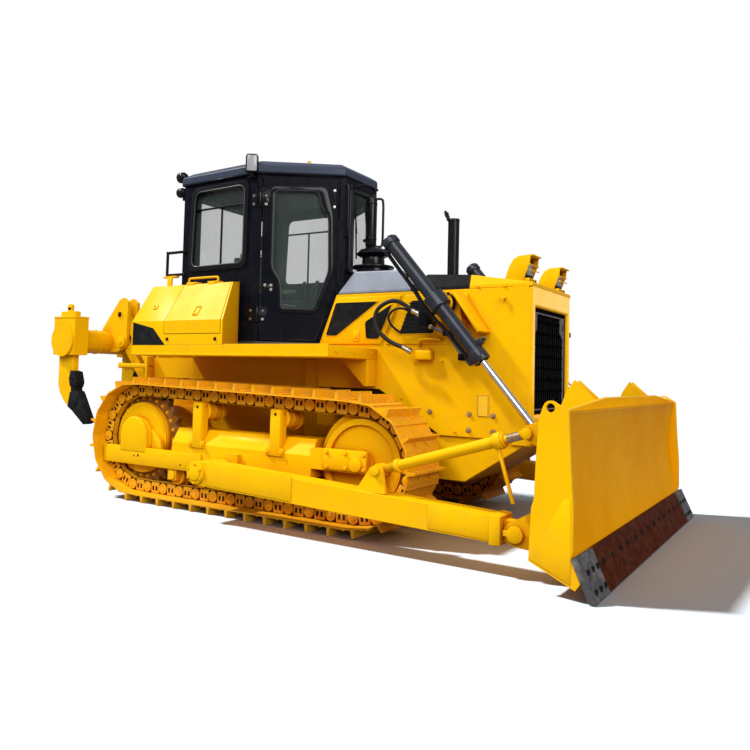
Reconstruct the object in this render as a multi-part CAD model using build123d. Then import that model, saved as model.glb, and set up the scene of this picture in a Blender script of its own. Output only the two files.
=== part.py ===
"""Crawler bulldozer with a straight-tilt blade and a three-shank parallelogram ripper.

Millimetres, +X forward (to the blade), +Y to the machine's left, +Z up from the ground.
The model is laid out with X = 0 under the drive sprockets, then moved so that the
origin is the middle of the whole machine's box, on the ground.
"""
import os
from math import acos, atan2, cos, hypot, pi, sin, sqrt

from build123d import *

os.makedirs("parts", exist_ok=True)

# ---------------------------------------------------------------- driving dimensions
# crawler undercarriage
GAUGE = 1880.0              # centre to centre of the two tracks
SHOE_WIDTH = 510.0
PITCH = 203.2               # pin to pin of the chain
LINK_HALF = 55.0            # half height of a chain link
LINK_THICK = 45.0
LINK_SPREAD = 85.0          # chain centre to the middle of each link strand
SHOE_PLATE = 12.0
GROUSER_HEIGHT = 60.0
GROUSER_BASE = 34.0
GROUSER_TIP = 14.0
SPROCKET_PITCH_R = 440.5
SPROCKET_THICK = 70.0
IDLER_PITCH_R = 408.0
WHEELBASE = 2430.0          # sprocket centre to idler centre
ROLLER_COUNT = 6
ROLLER_FIRST_X = 505.0
ROLLER_LAST_X = WHEELBASE - 455
ROLLER_R = 90.0
CARRIER_R = 78.0
CARRIER_X = (WHEELBASE * 0.33, WHEELBASE * 0.683)
FINAL_DRIVE_R = 290.0
DRIVE_COVER_R = 325.0

# hull
HULL_HALF = 400.0           # half width of the transmission case
HULL_REAR_X = -500.0
HULL_SPLIT_X = 1450.0       # transmission case to main frame
BELLY_Z = 400.0
HULL_TOP_Z = 1330.0
ENGINE_HALF = 475.0         # half width over the engine side panels
PANEL_THICK = 20.0
NOSE_X = 3525.0
HOOD_FOLD_Z = 1895.0
FRAME_TOP_Z = 760.0

# platform, boxes and cab
FENDER_HALF = 1200.0
FENDER_TOP_Z = 1425.0
FENDER_THICK = 95.0
FENDER_FRONT_X = 2200.0
CAB_REAR_X = 130.0
CAB_REAR_HALF = 720.0
CAB_POST_X = 1080.0         # door post, the widest place
CAB_POST_HALF = CAB_REAR_HALF + 30
CAB_FRONT_X = 1720.0
CAB_FRONT_HALF = 270.0
CAB_SILL_Z = 1480.0
CAB_EAVES_Z = 3000.0
CAB_ROOF_Z = 3130.0
CAB_WALL = 60.0
DOOR_THICK = 50.0
GLASS_THICK = 6.0

# blade and its linkage
ARM_PIVOT = (1150.0, 385.0)         # X, Z of the push arms' trunnions
ARM_EYE = (3780.0, 272.0)
ARM_Y = 1385.0
ARM_WIDTH = 190.0
TRUNNION_R = 60.0
BLADE_HALF = 1694.0
BLADE_TOP_Z = 1030.0
BLADE_FLOOR_GAP = 5.0
EDGE_TIP_X = 4300.0
LIFT_Y = 800.0
LIFT_TRUNNION = (2905.0, 1764.0)    # X, Z of the lift cylinders' trunnions
LIFT_EYE = (3810.0, 690.0)
LIFT_BARREL_R = 55.0
LIFT_ROD_R = 27.0
LIFT_TOP = 652.0                    # trunnion to the barrel's closed end
LIFT_GLAND = 568.0                  # trunnion to the gland

# ripper
RIP_LOW_FRONT = (-633.0, 918.0)     # X, Z of the lower link's pin on the hull
RIP_LOW_REAR = (-1106.0, 1500.0)    # its pin on the ripper beam
RIP_UP_REAR = (-1150.0, 1800.0)     # the upper link's pin on the ripper beam
RIP_LINK_Y = 300.0
RIP_LINK_WIDTH = 80.0
RIP_BEAM = (-1380.0, 1490.0)
RIP_BEAM_R = 127.0
RIP_BEAM_HALF = 955.0
RIP_SHANK_Y = 850.0
RIP_CYL_TOP = (-600.0, 1900.0)
RIP_CYL_Y = 130.0
RIP_CYL_SHARE = 0.45                # where the rod's pin sits along the lower link

# clearances
RUN_FIT = 0.05              # pin in a bore, on the radius
SEAT_GAP = 0.3              # one piece seated on another
LINK_GAP = 5.0              # beside a moving link
ROD_GAP = 0.3

# ---------------------------------------------------------------- worked-out places
TRACK_Y = GAUGE / 2
PIN_Z = LINK_HALF + SHOE_PLATE + GROUSER_HEIGHT
SPROCKET_Z = PIN_Z + SPROCKET_PITCH_R
IDLER_Z = PIN_Z + IDLER_PITCH_R
SHOE_OUT = TRACK_Y + SHOE_WIDTH / 2
MIN3 = (Align.CENTER, Align.CENTER, Align.MIN)

PARTS = {}                  # node name -> solid, or list of solids that don't touch


# ---------------------------------------------------------------- small helpers
def box(x0, x1, y0, y1, z0, z1):
    middle = Pos((x0 + x1) / 2, (y0 + y1) / 2, (z0 + z1) / 2)
    return middle * Box(abs(x1 - x0), abs(y1 - y0), abs(z1 - z0))


def plate_xz(points, y0, y1):
    """An outline in X and Z, between two Y planes."""
    face = Face(Wire.make_polygon([(x, y0, z) for x, z in points], close=True))
    return extrude(face, amount=y1 - y0, dir=(0, 1, 0))


def plate_yz(points, x0, x1):
    face = Face(Wire.make_polygon([(x0, y, z) for y, z in points], close=True))
    return extrude(face, amount=x1 - x0, dir=(1, 0, 0))


def plate_xy(points, z0, z1):
    face = Face(Wire.make_polygon([(x, y, z0) for x, y in points], close=True))
    return extrude(face, amount=z1 - z0, dir=(0, 0, 1))


def rod(start, end, radius):
    """A round bar from one point to another."""
    axis = Vector(*end) - Vector(*start)
    return Plane(origin=start, z_dir=axis) * Cylinder(radius, axis.length, align=MIN3)


def rod_y(centre, radius, y0, y1):
    """A round bar across the machine, centre given in X and Z."""
    return rod((centre[0], y0, centre[1]), (centre[0], y1, centre[1]), radius)


def mirrored(shape):
    return mirror(shape, about=Plane.XZ)


def both(shape):
    """The left-hand piece and its right-hand twin."""
    return [shape, mirrored(shape)]


def along(start, end, share):
    return tuple(a + (b - a) * share for a, b in zip(start, end))


def link_bar(start, end, half_height, eye_r, y0, y1):
    """A flat link in X and Z with a round eye at each end."""
    length = hypot(end[0] - start[0], end[1] - start[1])
    nx, nz = -(end[1] - start[1]) / length, (end[0] - start[0]) / length
    outline = [
        (start[0] + nx * half_height, start[1] + nz * half_height),
        (end[0] + nx * half_height, end[1] + nz * half_height),
        (end[0] - nx * half_height, end[1] - nz * half_height),
        (start[0] - nx * half_height, start[1] - nz * half_height),
    ]
    return plate_xz(outline, y0, y1) + rod_y(start, eye_r, y0, y1) + rod_y(end, eye_r, y0, y1)


# ---------------------------------------------------------------- tracks
def belt():
    """The pin line around sprocket and idler: its length and a function of the distance along it."""
    span = hypot(WHEELBASE, IDLER_Z - SPROCKET_Z)
    tilt = atan2(IDLER_Z - SPROCKET_Z, WHEELBASE)
    half = acos((SPROCKET_PITCH_R - IDLER_PITCH_R) / span)
    straight = sqrt(span**2 - (SPROCKET_PITCH_R - IDLER_PITCH_R) ** 2)
    idler_arc = IDLER_PITCH_R * 2 * half
    sprocket_arc = SPROCKET_PITCH_R * (2 * pi - 2 * half)
    total = 2 * straight + idler_arc + sprocket_arc

    def rim(centre, radius, angle):
        return (centre[0] + radius * cos(angle), centre[1] + radius * sin(angle))

    sprocket, idler = (0.0, SPROCKET_Z), (WHEELBASE, IDLER_Z)

    def point(s):
        s = s % total
        if s < straight:
            ends = (rim(sprocket, SPROCKET_PITCH_R, tilt - half), rim(idler, IDLER_PITCH_R, tilt - half))
            return along(*ends, s / straight)
        s -= straight
        if s < idler_arc:
            return rim(idler, IDLER_PITCH_R, tilt - half + s / IDLER_PITCH_R)
        s -= idler_arc
        if s < straight:
            ends = (rim(idler, IDLER_PITCH_R, tilt + half), rim(sprocket, SPROCKET_PITCH_R, tilt + half))
            return along(*ends, s / straight)
        return rim(sprocket, SPROCKET_PITCH_R, tilt + half + (s - straight) / SPROCKET_PITCH_R)

    return total, point


def chain_links():
    """Each link of the loop: its two pins, its direction and its outward normal."""
    total, point = belt()
    count = round(total / PITCH)
    pins = [point((i - 0.35) * total / count) for i in range(count)]
    links = []
    for i in range(count):
        p, q = pins[i], pins[(i + 1) % count]
        length = hypot(q[0] - p[0], q[1] - p[1])
        t = ((q[0] - p[0]) / length, (q[1] - p[1]) / length)
        links.append((p, q, t, (t[1], -t[0]), length))
    return links


def loop_outline(links, offset, grousers=False):
    """The loop at an offset outside the pin line, with or without a grouser on each link."""
    outline = []

    def add(p, t, n, along_t, out):
        x, z = p[0] + t[0] * along_t + n[0] * out, p[1] + t[1] * along_t + n[1] * out
        if not outline or hypot(x - outline[-1][0], z - outline[-1][1]) > 0.5:
            outline.append((x, z))

    for p, q, t, n, length in links:
        add(p, t, n, 0, offset)
        if grousers:
            middle = length * 0.35
            add(p, t, n, middle - GROUSER_BASE / 2, offset)
            add(p, t, n, middle - GROUSER_TIP / 2, offset + GROUSER_HEIGHT)
            add(p, t, n, middle + GROUSER_TIP / 2, offset + GROUSER_HEIGHT)
            add(p, t, n, middle + GROUSER_BASE / 2, offset)
        add(p, t, n, length, offset)
    if hypot(outline[0][0] - outline[-1][0], outline[0][1] - outline[-1][1]) < 0.5:
        outline.pop()
    return outline


def loop_inside(links, offset):
    """The loop at an offset inside the pin line, mitred at each pin."""
    outline = []
    for before, after in zip([links[-1]] + links[:-1], links):
        mx, mz = before[3][0] + after[3][0], before[3][1] + after[3][1]
        size = hypot(mx, mz)
        reach = offset / (size / 2)
        outline.append((after[0][0] - mx / size * reach, after[0][1] - mz / size * reach))
    return outline


def ring_xz(outer, inner, y0, y1):
    faces = [Wire.make_polygon([(x, y0, z) for x, z in pts], close=True) for pts in (outer, inner)]
    return extrude(Face(faces[0], [faces[1]]), amount=y1 - y0, dir=(0, 1, 0))


def track():
    links = chain_links()
    shoes = ring_xz(
        loop_outline(links, LINK_HALF + SHOE_PLATE, grousers=True),
        loop_outline(links, LINK_HALF),
        TRACK_Y - SHOE_WIDTH / 2,
        SHOE_OUT,
    )
    bite = 3.0
    for side in (-1, 1):
        middle = TRACK_Y + side * LINK_SPREAD
        strand = ring_xz(
            loop_outline(links, LINK_HALF + bite),
            loop_inside(links, LINK_HALF),
            middle - LINK_THICK / 2,
            middle + LINK_THICK / 2,
        )
        shoes = shoes + strand
    return shoes


PARTS["track_left"] = track()
PARTS["track_right"] = mirrored(PARTS["track_left"])

# the chain hugs the wheels as chords, so their treads stay inside the chords' middles
LINK_TURN = 2 * (PITCH / 2) / IDLER_PITCH_R
IDLER_TREAD_R = IDLER_PITCH_R * cos(LINK_TURN / 2) - LINK_HALF - 2.0
STRAND_IN = TRACK_Y - LINK_SPREAD - LINK_THICK / 2
STRAND_OUT = TRACK_Y + LINK_SPREAD + LINK_THICK / 2
FLANGE_HALF = LINK_SPREAD - LINK_THICK / 2 - LINK_GAP
TREAD_HALF = LINK_SPREAD + LINK_THICK / 2 + 10
FRAME_IN = TRACK_Y - TREAD_HALF - 35
FRAME_OUT = TRACK_Y + TREAD_HALF + 62
YOKE_IN = TRACK_Y - TREAD_HALF - SEAT_GAP       # faces that hold the rollers' axles
YOKE_OUT = TRACK_Y + TREAD_HALF + SEAT_GAP


def sprocket():
    teeth = round(2 * 2 * pi * SPROCKET_PITCH_R / PITCH)
    root, tip = SPROCKET_PITCH_R - 38, SPROCKET_PITCH_R + 12
    outline = []
    for i in range(teeth):
        for share, radius in ((-0.36, root), (-0.10, tip), (0.10, tip), (0.36, root)):
            angle = 2 * pi * (i + share) / teeth
            outline.append((radius * cos(angle), SPROCKET_Z + radius * sin(angle)))
    return plate_xz(outline, TRACK_Y - SPROCKET_THICK / 2, TRACK_Y + SPROCKET_THICK / 2)


PARTS["sprockets"] = both(sprocket())


def final_drive():
    """The drive housing inboard of the sprocket and the round cover outboard of it."""
    centre = (0.0, SPROCKET_Z)
    inner = rod_y(centre, FINAL_DRIVE_R, HULL_HALF, TRACK_Y - SPROCKET_THICK / 2)
    cover_in = TRACK_Y + SPROCKET_THICK / 2
    cover = rod_y(centre, DRIVE_COVER_R, cover_in, cover_in + 55)
    boss = rod_y(centre, DRIVE_COVER_R * 0.62, cover_in + 55, FRAME_OUT - 20)
    return [inner, cover + boss]


PARTS["final_drives"] = final_drive() + [mirrored(s) for s in final_drive()]


def idler():
    centre = (WHEELBASE, IDLER_Z)
    tread = rod_y(centre, IDLER_TREAD_R, TRACK_Y - TREAD_HALF, TRACK_Y + TREAD_HALF)
    flange = rod_y(centre, IDLER_PITCH_R - 8, TRACK_Y - FLANGE_HALF, TRACK_Y + FLANGE_HALF)
    hub = rod_y(centre, 60, YOKE_IN, YOKE_OUT)
    dish = [
        rod_y(centre, IDLER_TREAD_R - 45, TRACK_Y + side * TREAD_HALF, TRACK_Y + side * (TREAD_HALF - 70))
        - rod_y(centre, 105, TRACK_Y + side * TREAD_HALF, TRACK_Y + side * (TREAD_HALF - 70))
        for side in (-1, 1)
    ]
    return tread + flange + hub - dish


PARTS["idlers"] = both(idler())


def top_run_z(x):
    """Height of the pin line of the upper run at x."""
    drop = (SPROCKET_Z + SPROCKET_PITCH_R) - (IDLER_Z + IDLER_PITCH_R)
    return SPROCKET_Z + SPROCKET_PITCH_R - drop * x / WHEELBASE


ROLLER_Z = PIN_Z + LINK_HALF + ROLLER_R + SEAT_GAP
ROLLER_STEP = (ROLLER_LAST_X - ROLLER_FIRST_X) / (ROLLER_COUNT - 1)
ROLLER_XS = [ROLLER_FIRST_X + i * ROLLER_STEP for i in range(ROLLER_COUNT)]


def carrier_z(x):
    return top_run_z(x) - LINK_HALF - CARRIER_R - 2.0


def rollers():
    out = []
    for x in ROLLER_XS:
        wheel = rod_y((x, ROLLER_Z), ROLLER_R, TRACK_Y - TREAD_HALF, TRACK_Y + TREAD_HALF)
        rim = rod_y((x, ROLLER_Z), ROLLER_R + 18, TRACK_Y - FLANGE_HALF, TRACK_Y + FLANGE_HALF)
        axle = rod_y((x, ROLLER_Z), 36, YOKE_IN, YOKE_OUT)
        out.append(wheel + rim + axle)
    for x in CARRIER_X:
        wheel = rod_y((x, carrier_z(x)), CARRIER_R, STRAND_IN, STRAND_OUT)
        out.append(wheel + rod_y((x, carrier_z(x)), 34, STRAND_OUT, YOKE_OUT))
    return out


PARTS["track_rollers"] = rollers() + [mirrored(s) for s in rollers()]

BEAM_REAR_X = SPROCKET_PITCH_R + 55
BEAM_FRONT_X = WHEELBASE - IDLER_PITCH_R - 10
BEAM_LOW_Z = ROLLER_Z + ROLLER_R + 18 + 12
BEAM_SIDE_Z = 565.0
BEAM_TOP_Z = 690.0
POST_WIDTH = 115.0


def track_frame():
    """The roller frame: a box beam, its roller brackets, posts, idler fork and outer drive support."""
    section = [
        (FRAME_IN, BEAM_LOW_Z), (FRAME_OUT, BEAM_LOW_Z), (FRAME_OUT, BEAM_SIDE_Z),
        (FRAME_OUT - 80, BEAM_TOP_Z), (FRAME_IN + 70, BEAM_TOP_Z), (FRAME_IN, BEAM_SIDE_Z),
    ]
    frame = plate_yz(section, BEAM_REAR_X, BEAM_FRONT_X)
    sides = ((FRAME_IN, YOKE_IN), (YOKE_OUT, FRAME_OUT))
    for y0, y1 in sides:
        for x in ROLLER_XS:
            frame = frame + box(x - 52, x + 52, y0, y1, ROLLER_Z - 42, BEAM_LOW_Z + 5)
        frame = frame + box(BEAM_FRONT_X - 5, WHEELBASE + 80, y0, y1, IDLER_Z - 65, IDLER_Z + 95)
    for x in CARRIER_X:
        post_top = (x, carrier_z(x))
        half = POST_WIDTH / 2
        post = box(x - half, x + half, YOKE_OUT, FRAME_OUT, BEAM_SIDE_Z - 90, carrier_z(x))
        frame = frame + post + rod_y(post_top, half, YOKE_OUT, FRAME_OUT)
    # outboard support of the final drive, bolted along the beam's outside
    guard_end = BEAM_REAR_X + 230
    guard = [(-390, 330), (-390, 485), (guard_end, 485), (guard_end, 400), (guard_end - 50, 330)]
    guard_in, guard_out = FRAME_OUT - 20, FRAME_OUT + 12
    frame = frame + plate_xz(guard, guard_in, guard_out)
    frame = frame + rod_y((0.0, SPROCKET_Z), 165, guard_in, guard_out)
    frame = frame + box(-165, 165, guard_in, guard_out, 400, SPROCKET_Z)
    # stub to the hull, which the frame swings on, and the boss for the push arm's trunnion
    frame = frame + rod_y((BEAM_REAR_X + 110, 500), 75, HULL_HALF, FRAME_IN + 5)
    pivot = (ARM_PIVOT[0], ARM_PIVOT[1])
    frame = frame + box(pivot[0] - 150, pivot[0] + 150, FRAME_OUT - 5, FRAME_OUT + 45, 300, 520)
    arm_in, arm_out = ARM_Y - ARM_WIDTH / 2, ARM_Y + ARM_WIDTH / 2
    frame = frame + rod_y(pivot, 90, FRAME_OUT + 40, arm_in - LINK_GAP)
    frame = frame + rod_y(pivot, TRUNNION_R, arm_in - LINK_GAP, arm_out + 12)
    return frame


PARTS["track_frame_left"] = track_frame()
PARTS["track_frame_right"] = mirrored(PARTS["track_frame_left"])

EQUALIZER_X = (1880.0, 2010.0)
EQUALIZER_Z = (430.0, 560.0)
PARTS["equalizer_bar"] = box(*EQUALIZER_X, -FRAME_IN + SEAT_GAP, FRAME_IN - SEAT_GAP, *EQUALIZER_Z)

# ---------------------------------------------------------------- hull and engine
PARTS["transmission_case"] = plate_xz(
    [
        (HULL_REAR_X, 560), (HULL_REAR_X + 120, BELLY_Z + 20), (HULL_SPLIT_X, BELLY_Z + 20),
        (HULL_SPLIT_X, HULL_TOP_Z), (HULL_REAR_X, HULL_TOP_Z),
    ],
    -HULL_HALF,
    HULL_HALF,
)
FRAME_HALF = ENGINE_HALF - PANEL_THICK
RADIATOR_X = (NOSE_X - 225, NOSE_X - 85)
MASK_X = NOSE_X - 70
PARTS["main_frame"] = plate_xz(
    [
        (HULL_SPLIT_X, BELLY_Z), (3000, BELLY_Z), (MASK_X, FRAME_TOP_Z - 60), (MASK_X, FRAME_TOP_Z),
        (1600, FRAME_TOP_Z), (1600, HULL_TOP_Z), (HULL_SPLIT_X, HULL_TOP_Z),
    ],
    -FRAME_HALF,
    FRAME_HALF,
) - box(EQUALIZER_X[0] - 15, EQUALIZER_X[1] + 15, -FRAME_HALF, FRAME_HALF, 0, EQUALIZER_Z[1] + SEAT_GAP)
PARTS["engine_block"] = box(1800, 3150, -280, 280, FRAME_TOP_Z, 1750)
PARTS["radiator_core"] = box(*RADIATOR_X, -FRAME_HALF + 20, FRAME_HALF - 20, FRAME_TOP_Z, HOOD_FOLD_Z - 5)

side_outline = [
    (1600, 1445), (1780, HOOD_FOLD_Z), (MASK_X, HOOD_FOLD_Z), (MASK_X, 745), (2790, 745),
    (2230, 1090), (1600, 1090),
]
PARTS["engine_side_panels"] = both(plate_xz(side_outline, FRAME_HALF, ENGINE_HALF))

GRILLE_HALF = 410.0
GRILLE_Z = (940.0, 1745.0)
mask = box(MASK_X, NOSE_X, -ENGINE_HALF, ENGINE_HALF, 700, HOOD_FOLD_Z)
PARTS["radiator_mask"] = mask - box(MASK_X, NOSE_X, -GRILLE_HALF, GRILLE_HALF, *GRILLE_Z)


def grille():
    """A frame and crossing bars in the mask's opening."""
    half, (low, high) = GRILLE_HALF - SEAT_GAP, (GRILLE_Z[0] + SEAT_GAP, GRILLE_Z[1] - SEAT_GAP)
    x0, x1 = MASK_X + 15, MASK_X + 45
    out = box(x0, x1, -half, half, low, high) - box(x0, x1, -half + 30, half - 30, low + 30, high - 30)
    columns, rows, bar = 15, 9, 8.0
    for i in range(1, columns):
        y = -half + 2 * half * i / columns
        out = out + box(x0 + 4, x1 - 12, y - bar / 2, y + bar / 2, low, high)
    for i in range(1, rows):
        z = low + (high - low) * i / rows
        out = out + box(x0 + 8, x1 - 4, -half, half, z - bar / 2, z + bar / 2)
    return out


PARTS["radiator_grille"] = grille()

HOOD_SPLIT_X = 3020.0
COWL_FRONT_X = 2510.0
hood_section = plate_yz(
    [
        (-ENGINE_HALF, HOOD_FOLD_Z), (ENGINE_HALF, HOOD_FOLD_Z), (ENGINE_HALF, HOOD_FOLD_Z + 25),
        (ENGINE_HALF - 70, HOOD_FOLD_Z + 260), (70 - ENGINE_HALF, HOOD_FOLD_Z + 260),
        (-ENGINE_HALF, HOOD_FOLD_Z + 25),
    ],
    1700,
    NOSE_X,
)
hood = plate_xz(
    [
        (HOOD_SPLIT_X + 2, HOOD_FOLD_Z), (NOSE_X, HOOD_FOLD_Z), (NOSE_X, HOOD_FOLD_Z + 30),
        (HOOD_SPLIT_X + 2, HOOD_FOLD_Z + 113),
    ],
    -ENGINE_HALF,
    ENGINE_HALF,
)
PARTS["hood"] = hood & hood_section
hood_rear = plate_xz(
    [
        (COWL_FRONT_X, HOOD_FOLD_Z), (HOOD_SPLIT_X, HOOD_FOLD_Z), (HOOD_SPLIT_X, HOOD_FOLD_Z + 114),
        (COWL_FRONT_X + 135, HOOD_FOLD_Z + 137), (COWL_FRONT_X, HOOD_FOLD_Z + 50),
    ],
    -ENGINE_HALF,
    ENGINE_HALF,
)
EXHAUST_X = COWL_FRONT_X + 150
EXHAUST_R = 50.0
EXHAUST_TOP_Z = HOOD_FOLD_Z + 675
exhaust_hole = rod((EXHAUST_X, 0, HOOD_FOLD_Z - 90), (EXHAUST_X, 0, HOOD_FOLD_Z + 210), EXHAUST_R + SEAT_GAP)
PARTS["hood_rear"] = (hood_rear & hood_section) - exhaust_hole
COWL_TOP_Z = HOOD_FOLD_Z + 205
cowl = plate_xz(
    [
        (1785, HOOD_FOLD_Z), (COWL_FRONT_X - 2, HOOD_FOLD_Z), (COWL_FRONT_X - 2, HOOD_FOLD_Z + 50),
        (COWL_FRONT_X - 130, COWL_TOP_Z - 12), (1925, COWL_TOP_Z),
    ],
    -ENGINE_HALF,
    ENGINE_HALF,
)
PARTS["cowl"] = cowl & hood_section


def exhaust():
    """The pipe through the hood, its foot ring, and the rain flap standing open on top."""
    pipe = rod((EXHAUST_X, 0, HOOD_FOLD_Z - 40), (EXHAUST_X, 0, EXHAUST_TOP_Z), EXHAUST_R)
    foot = rod((EXHAUST_X, 0, HOOD_FOLD_Z + 145), (EXHAUST_X, 0, HOOD_FOLD_Z + 200), EXHAUST_R + 14)
    hinge = (EXHAUST_X - EXHAUST_R - 4, EXHAUST_TOP_Z - 6)
    arm = rod_y(hinge, 9, -24, 24)
    lean = (-0.35, 0.94)
    middle = (hinge[0] + lean[0] * EXHAUST_R, 0, hinge[1] + lean[1] * EXHAUST_R)
    flap = rod(middle, (middle[0] + lean[1] * 6, 0, middle[2] - lean[0] * 6), EXHAUST_R + 3)
    return pipe + foot + arm + flap


PARTS["exhaust"] = exhaust()
PRECLEANER = (1950.0, -150.0)


def precleaner():
    """A low mushroom: body, flat rim, neck and a domed cap."""
    levels = ((COWL_TOP_Z - 5, 90, 165), (COWL_TOP_Z + 85, 22, 190), (COWL_TOP_Z + 107, 56, 112))
    out = None
    for low, height, radius in levels:
        stage = rod((*PRECLEANER, low), (*PRECLEANER, low + height), radius)
        out = stage if out is None else out + stage
    cap_z = COWL_TOP_Z + 163
    out = out + rod((*PRECLEANER, cap_z), (*PRECLEANER, cap_z + 42), 153)
    return out + Pos(*PRECLEANER, cap_z + 42) * Cone(153, 92, 44, align=MIN3)


PARTS["precleaner"] = precleaner() - PARTS["cowl"]


def headlamp():
    y = 360.0
    x, z = NOSE_X, HOOD_FOLD_Z
    guard = [(x - 215, z + 38), (x - 125, z + 225), (x - 15, z + 242), (x - 25, z + 10)]
    hollow = [(x - 85, z + 90), (x - 85, z + 212), (x - 14, z + 222), (x - 24, z + 70)]
    lens = rod((x - 100, y, z + 145), (x - 40, y, z + 145), 62)
    return (plate_xz(guard, y - 95, y + 95) - plate_xz(hollow, y - 80, y + 80) + lens) - PARTS["hood"]


PARTS["headlamps"] = both(headlamp())

# ---------------------------------------------------------------- platform and boxes
FENDER_LOW_Z = FENDER_TOP_Z - FENDER_THICK
middle_deck = box(0, 1600, -560, 560, FENDER_LOW_Z, FENDER_TOP_Z)


def fender():
    deck = box(0, FENDER_FRONT_X, 560, FENDER_HALF, FENDER_LOW_Z, FENDER_TOP_Z)
    inner = box(1600, FENDER_FRONT_X, ENGINE_HALF, 565, FENDER_LOW_Z, FENDER_TOP_Z)
    gusset = plate_xz(
        [(FENDER_FRONT_X - 260, FENDER_LOW_Z), (FENDER_FRONT_X - 30, 1110), (FENDER_FRONT_X, 1110),
         (FENDER_FRONT_X, FENDER_LOW_Z)],
        ENGINE_HALF, ENGINE_HALF + 150,
    )
    return deck + inner + gusset


PARTS["platform"] = middle_deck + fender() + mirrored(fender())

BOX_LOW_Z = FENDER_TOP_Z
BOX_FOLD_Z = 1640.0
BOX_TOP = (960.0, 1990.0)       # |Y|, Z of the top edge
BOX_INNER_Y = 785.0
box_section = [
    (BOX_INNER_Y, BOX_LOW_Z), (FENDER_HALF, BOX_LOW_Z), (FENDER_HALF, BOX_FOLD_Z), BOX_TOP,
    (BOX_INNER_Y, BOX_TOP[1] + 25),
]
box_plan = [(0, BOX_INNER_Y), (930, BOX_INNER_Y), (1120, FENDER_HALF), (0, FENDER_HALF)]
side_box = plate_yz(box_section, 0, 1200) & plate_xy(box_plan, BOX_LOW_Z, BOX_TOP[1] + 60)
PARTS["tank_left"] = side_box

LID_THICK = 16.0
LID_X0 = 420.0
LID_LOW_Z = 1525.0
LID_GAP = 6.0
lid_out = [(FENDER_HALF, LID_LOW_Z), (FENDER_HALF, BOX_FOLD_Z), BOX_TOP]
lid_shift = (LID_THICK, LID_THICK * 0.65)
lid_section = lid_out + [
    (BOX_TOP[0] - lid_shift[0], BOX_TOP[1] - lid_shift[1] - 8),
    (FENDER_HALF - LID_THICK, BOX_FOLD_Z - 5), (FENDER_HALF - LID_THICK, LID_LOW_Z),
]
lid_space_section = [
    (FENDER_HALF + 5, LID_LOW_Z - LID_GAP), (FENDER_HALF + 5, BOX_FOLD_Z + 5),
    (BOX_TOP[0] + 2, BOX_TOP[1] + 6), (BOX_TOP[0] - 24, BOX_TOP[1] + 6),
    (BOX_TOP[0] - 24, BOX_TOP[1] - 30), (FENDER_HALF - 26, BOX_FOLD_Z - 10),
    (FENDER_HALF - 26, LID_LOW_Z - LID_GAP),
]
cavity_section = [
    (BOX_INNER_Y + 20, BOX_LOW_Z + 20), (FENDER_HALF - 20, BOX_LOW_Z + 20), (FENDER_HALF - 20, BOX_FOLD_Z),
    (BOX_TOP[0] - 15, BOX_TOP[1] - 30), (BOX_INNER_Y + 20, BOX_TOP[1] - 10),
]


def lid_region(section, x0, front_inset):
    """A section of the box run back from its slanted front, inset from that face along X."""
    plan = [
        (x0, 700), (892 - front_inset, 700), (1120 - front_inset, FENDER_HALF + 10), (x0, FENDER_HALF + 10),
    ]
    return plate_yz(section, x0, 1200) & plate_xy(plan, 1000, 2200)


LID_HINGE = (BOX_TOP[0] - 10, BOX_TOP[1] + 12)
LID_HINGE_XS = (500.0, 760.0)
LID_HINGE_HALF = 40.0
lid = lid_region(lid_section, LID_X0, 24)
box_shell = side_box - lid_region(lid_space_section, LID_X0 - LID_GAP, 24 - LID_GAP)
for x in LID_HINGE_XS:
    barrel = rod((x - LID_HINGE_HALF, *LID_HINGE), (x + LID_HINGE_HALF, *LID_HINGE), 9)
    leaf = [(LID_HINGE[0], LID_HINGE[1] + 8), (LID_HINGE[0], LID_HINGE[1]), (BOX_TOP[0] - 1, BOX_TOP[1] - 5),
            (BOX_TOP[0] + 9, BOX_TOP[1] - 9), (BOX_TOP[0] + 9, LID_HINGE[1])]
    lid = lid + barrel + plate_yz(leaf, x - LID_HINGE_HALF, x + LID_HINGE_HALF)
    for start in (x - LID_HINGE_HALF - 22, x + LID_HINGE_HALF + SEAT_GAP):
        lug = rod((start, *LID_HINGE), (start + 22 - SEAT_GAP, *LID_HINGE), 9)
        foot = [
            (LID_HINGE[0], LID_HINGE[1] + 8), (BOX_INNER_Y + 90, BOX_TOP[1] + 20),
            (BOX_TOP[0] - 26, BOX_TOP[1] - 10), (LID_HINGE[0], LID_HINGE[1] - 8),
        ]
        box_shell = box_shell + lug + plate_yz(foot, start, start + 22 - SEAT_GAP)
PARTS["tool_box_lid"] = mirrored(lid)
cavity = lid_region(cavity_section, LID_X0 + 20, 40)
PARTS["tool_box_right"] = mirrored(box_shell - cavity)

# ---------------------------------------------------------------- cab
REAR_CORNER = (CAB_REAR_X, CAB_REAR_HALF)
POST_CORNER = (CAB_POST_X, CAB_POST_HALF)
FRONT_CORNER = (CAB_FRONT_X, CAB_FRONT_HALF)
DOOR_LEN = hypot(FRONT_CORNER[0] - POST_CORNER[0], FRONT_CORNER[1] - POST_CORNER[1])
DOOR_DIR = tuple((f - p) / DOOR_LEN for f, p in zip(FRONT_CORNER, POST_CORNER))
DOOR_OUT = (-DOOR_DIR[1], DOOR_DIR[0])
WALL_TOP_Z = CAB_EAVES_Z - SEAT_GAP


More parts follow.
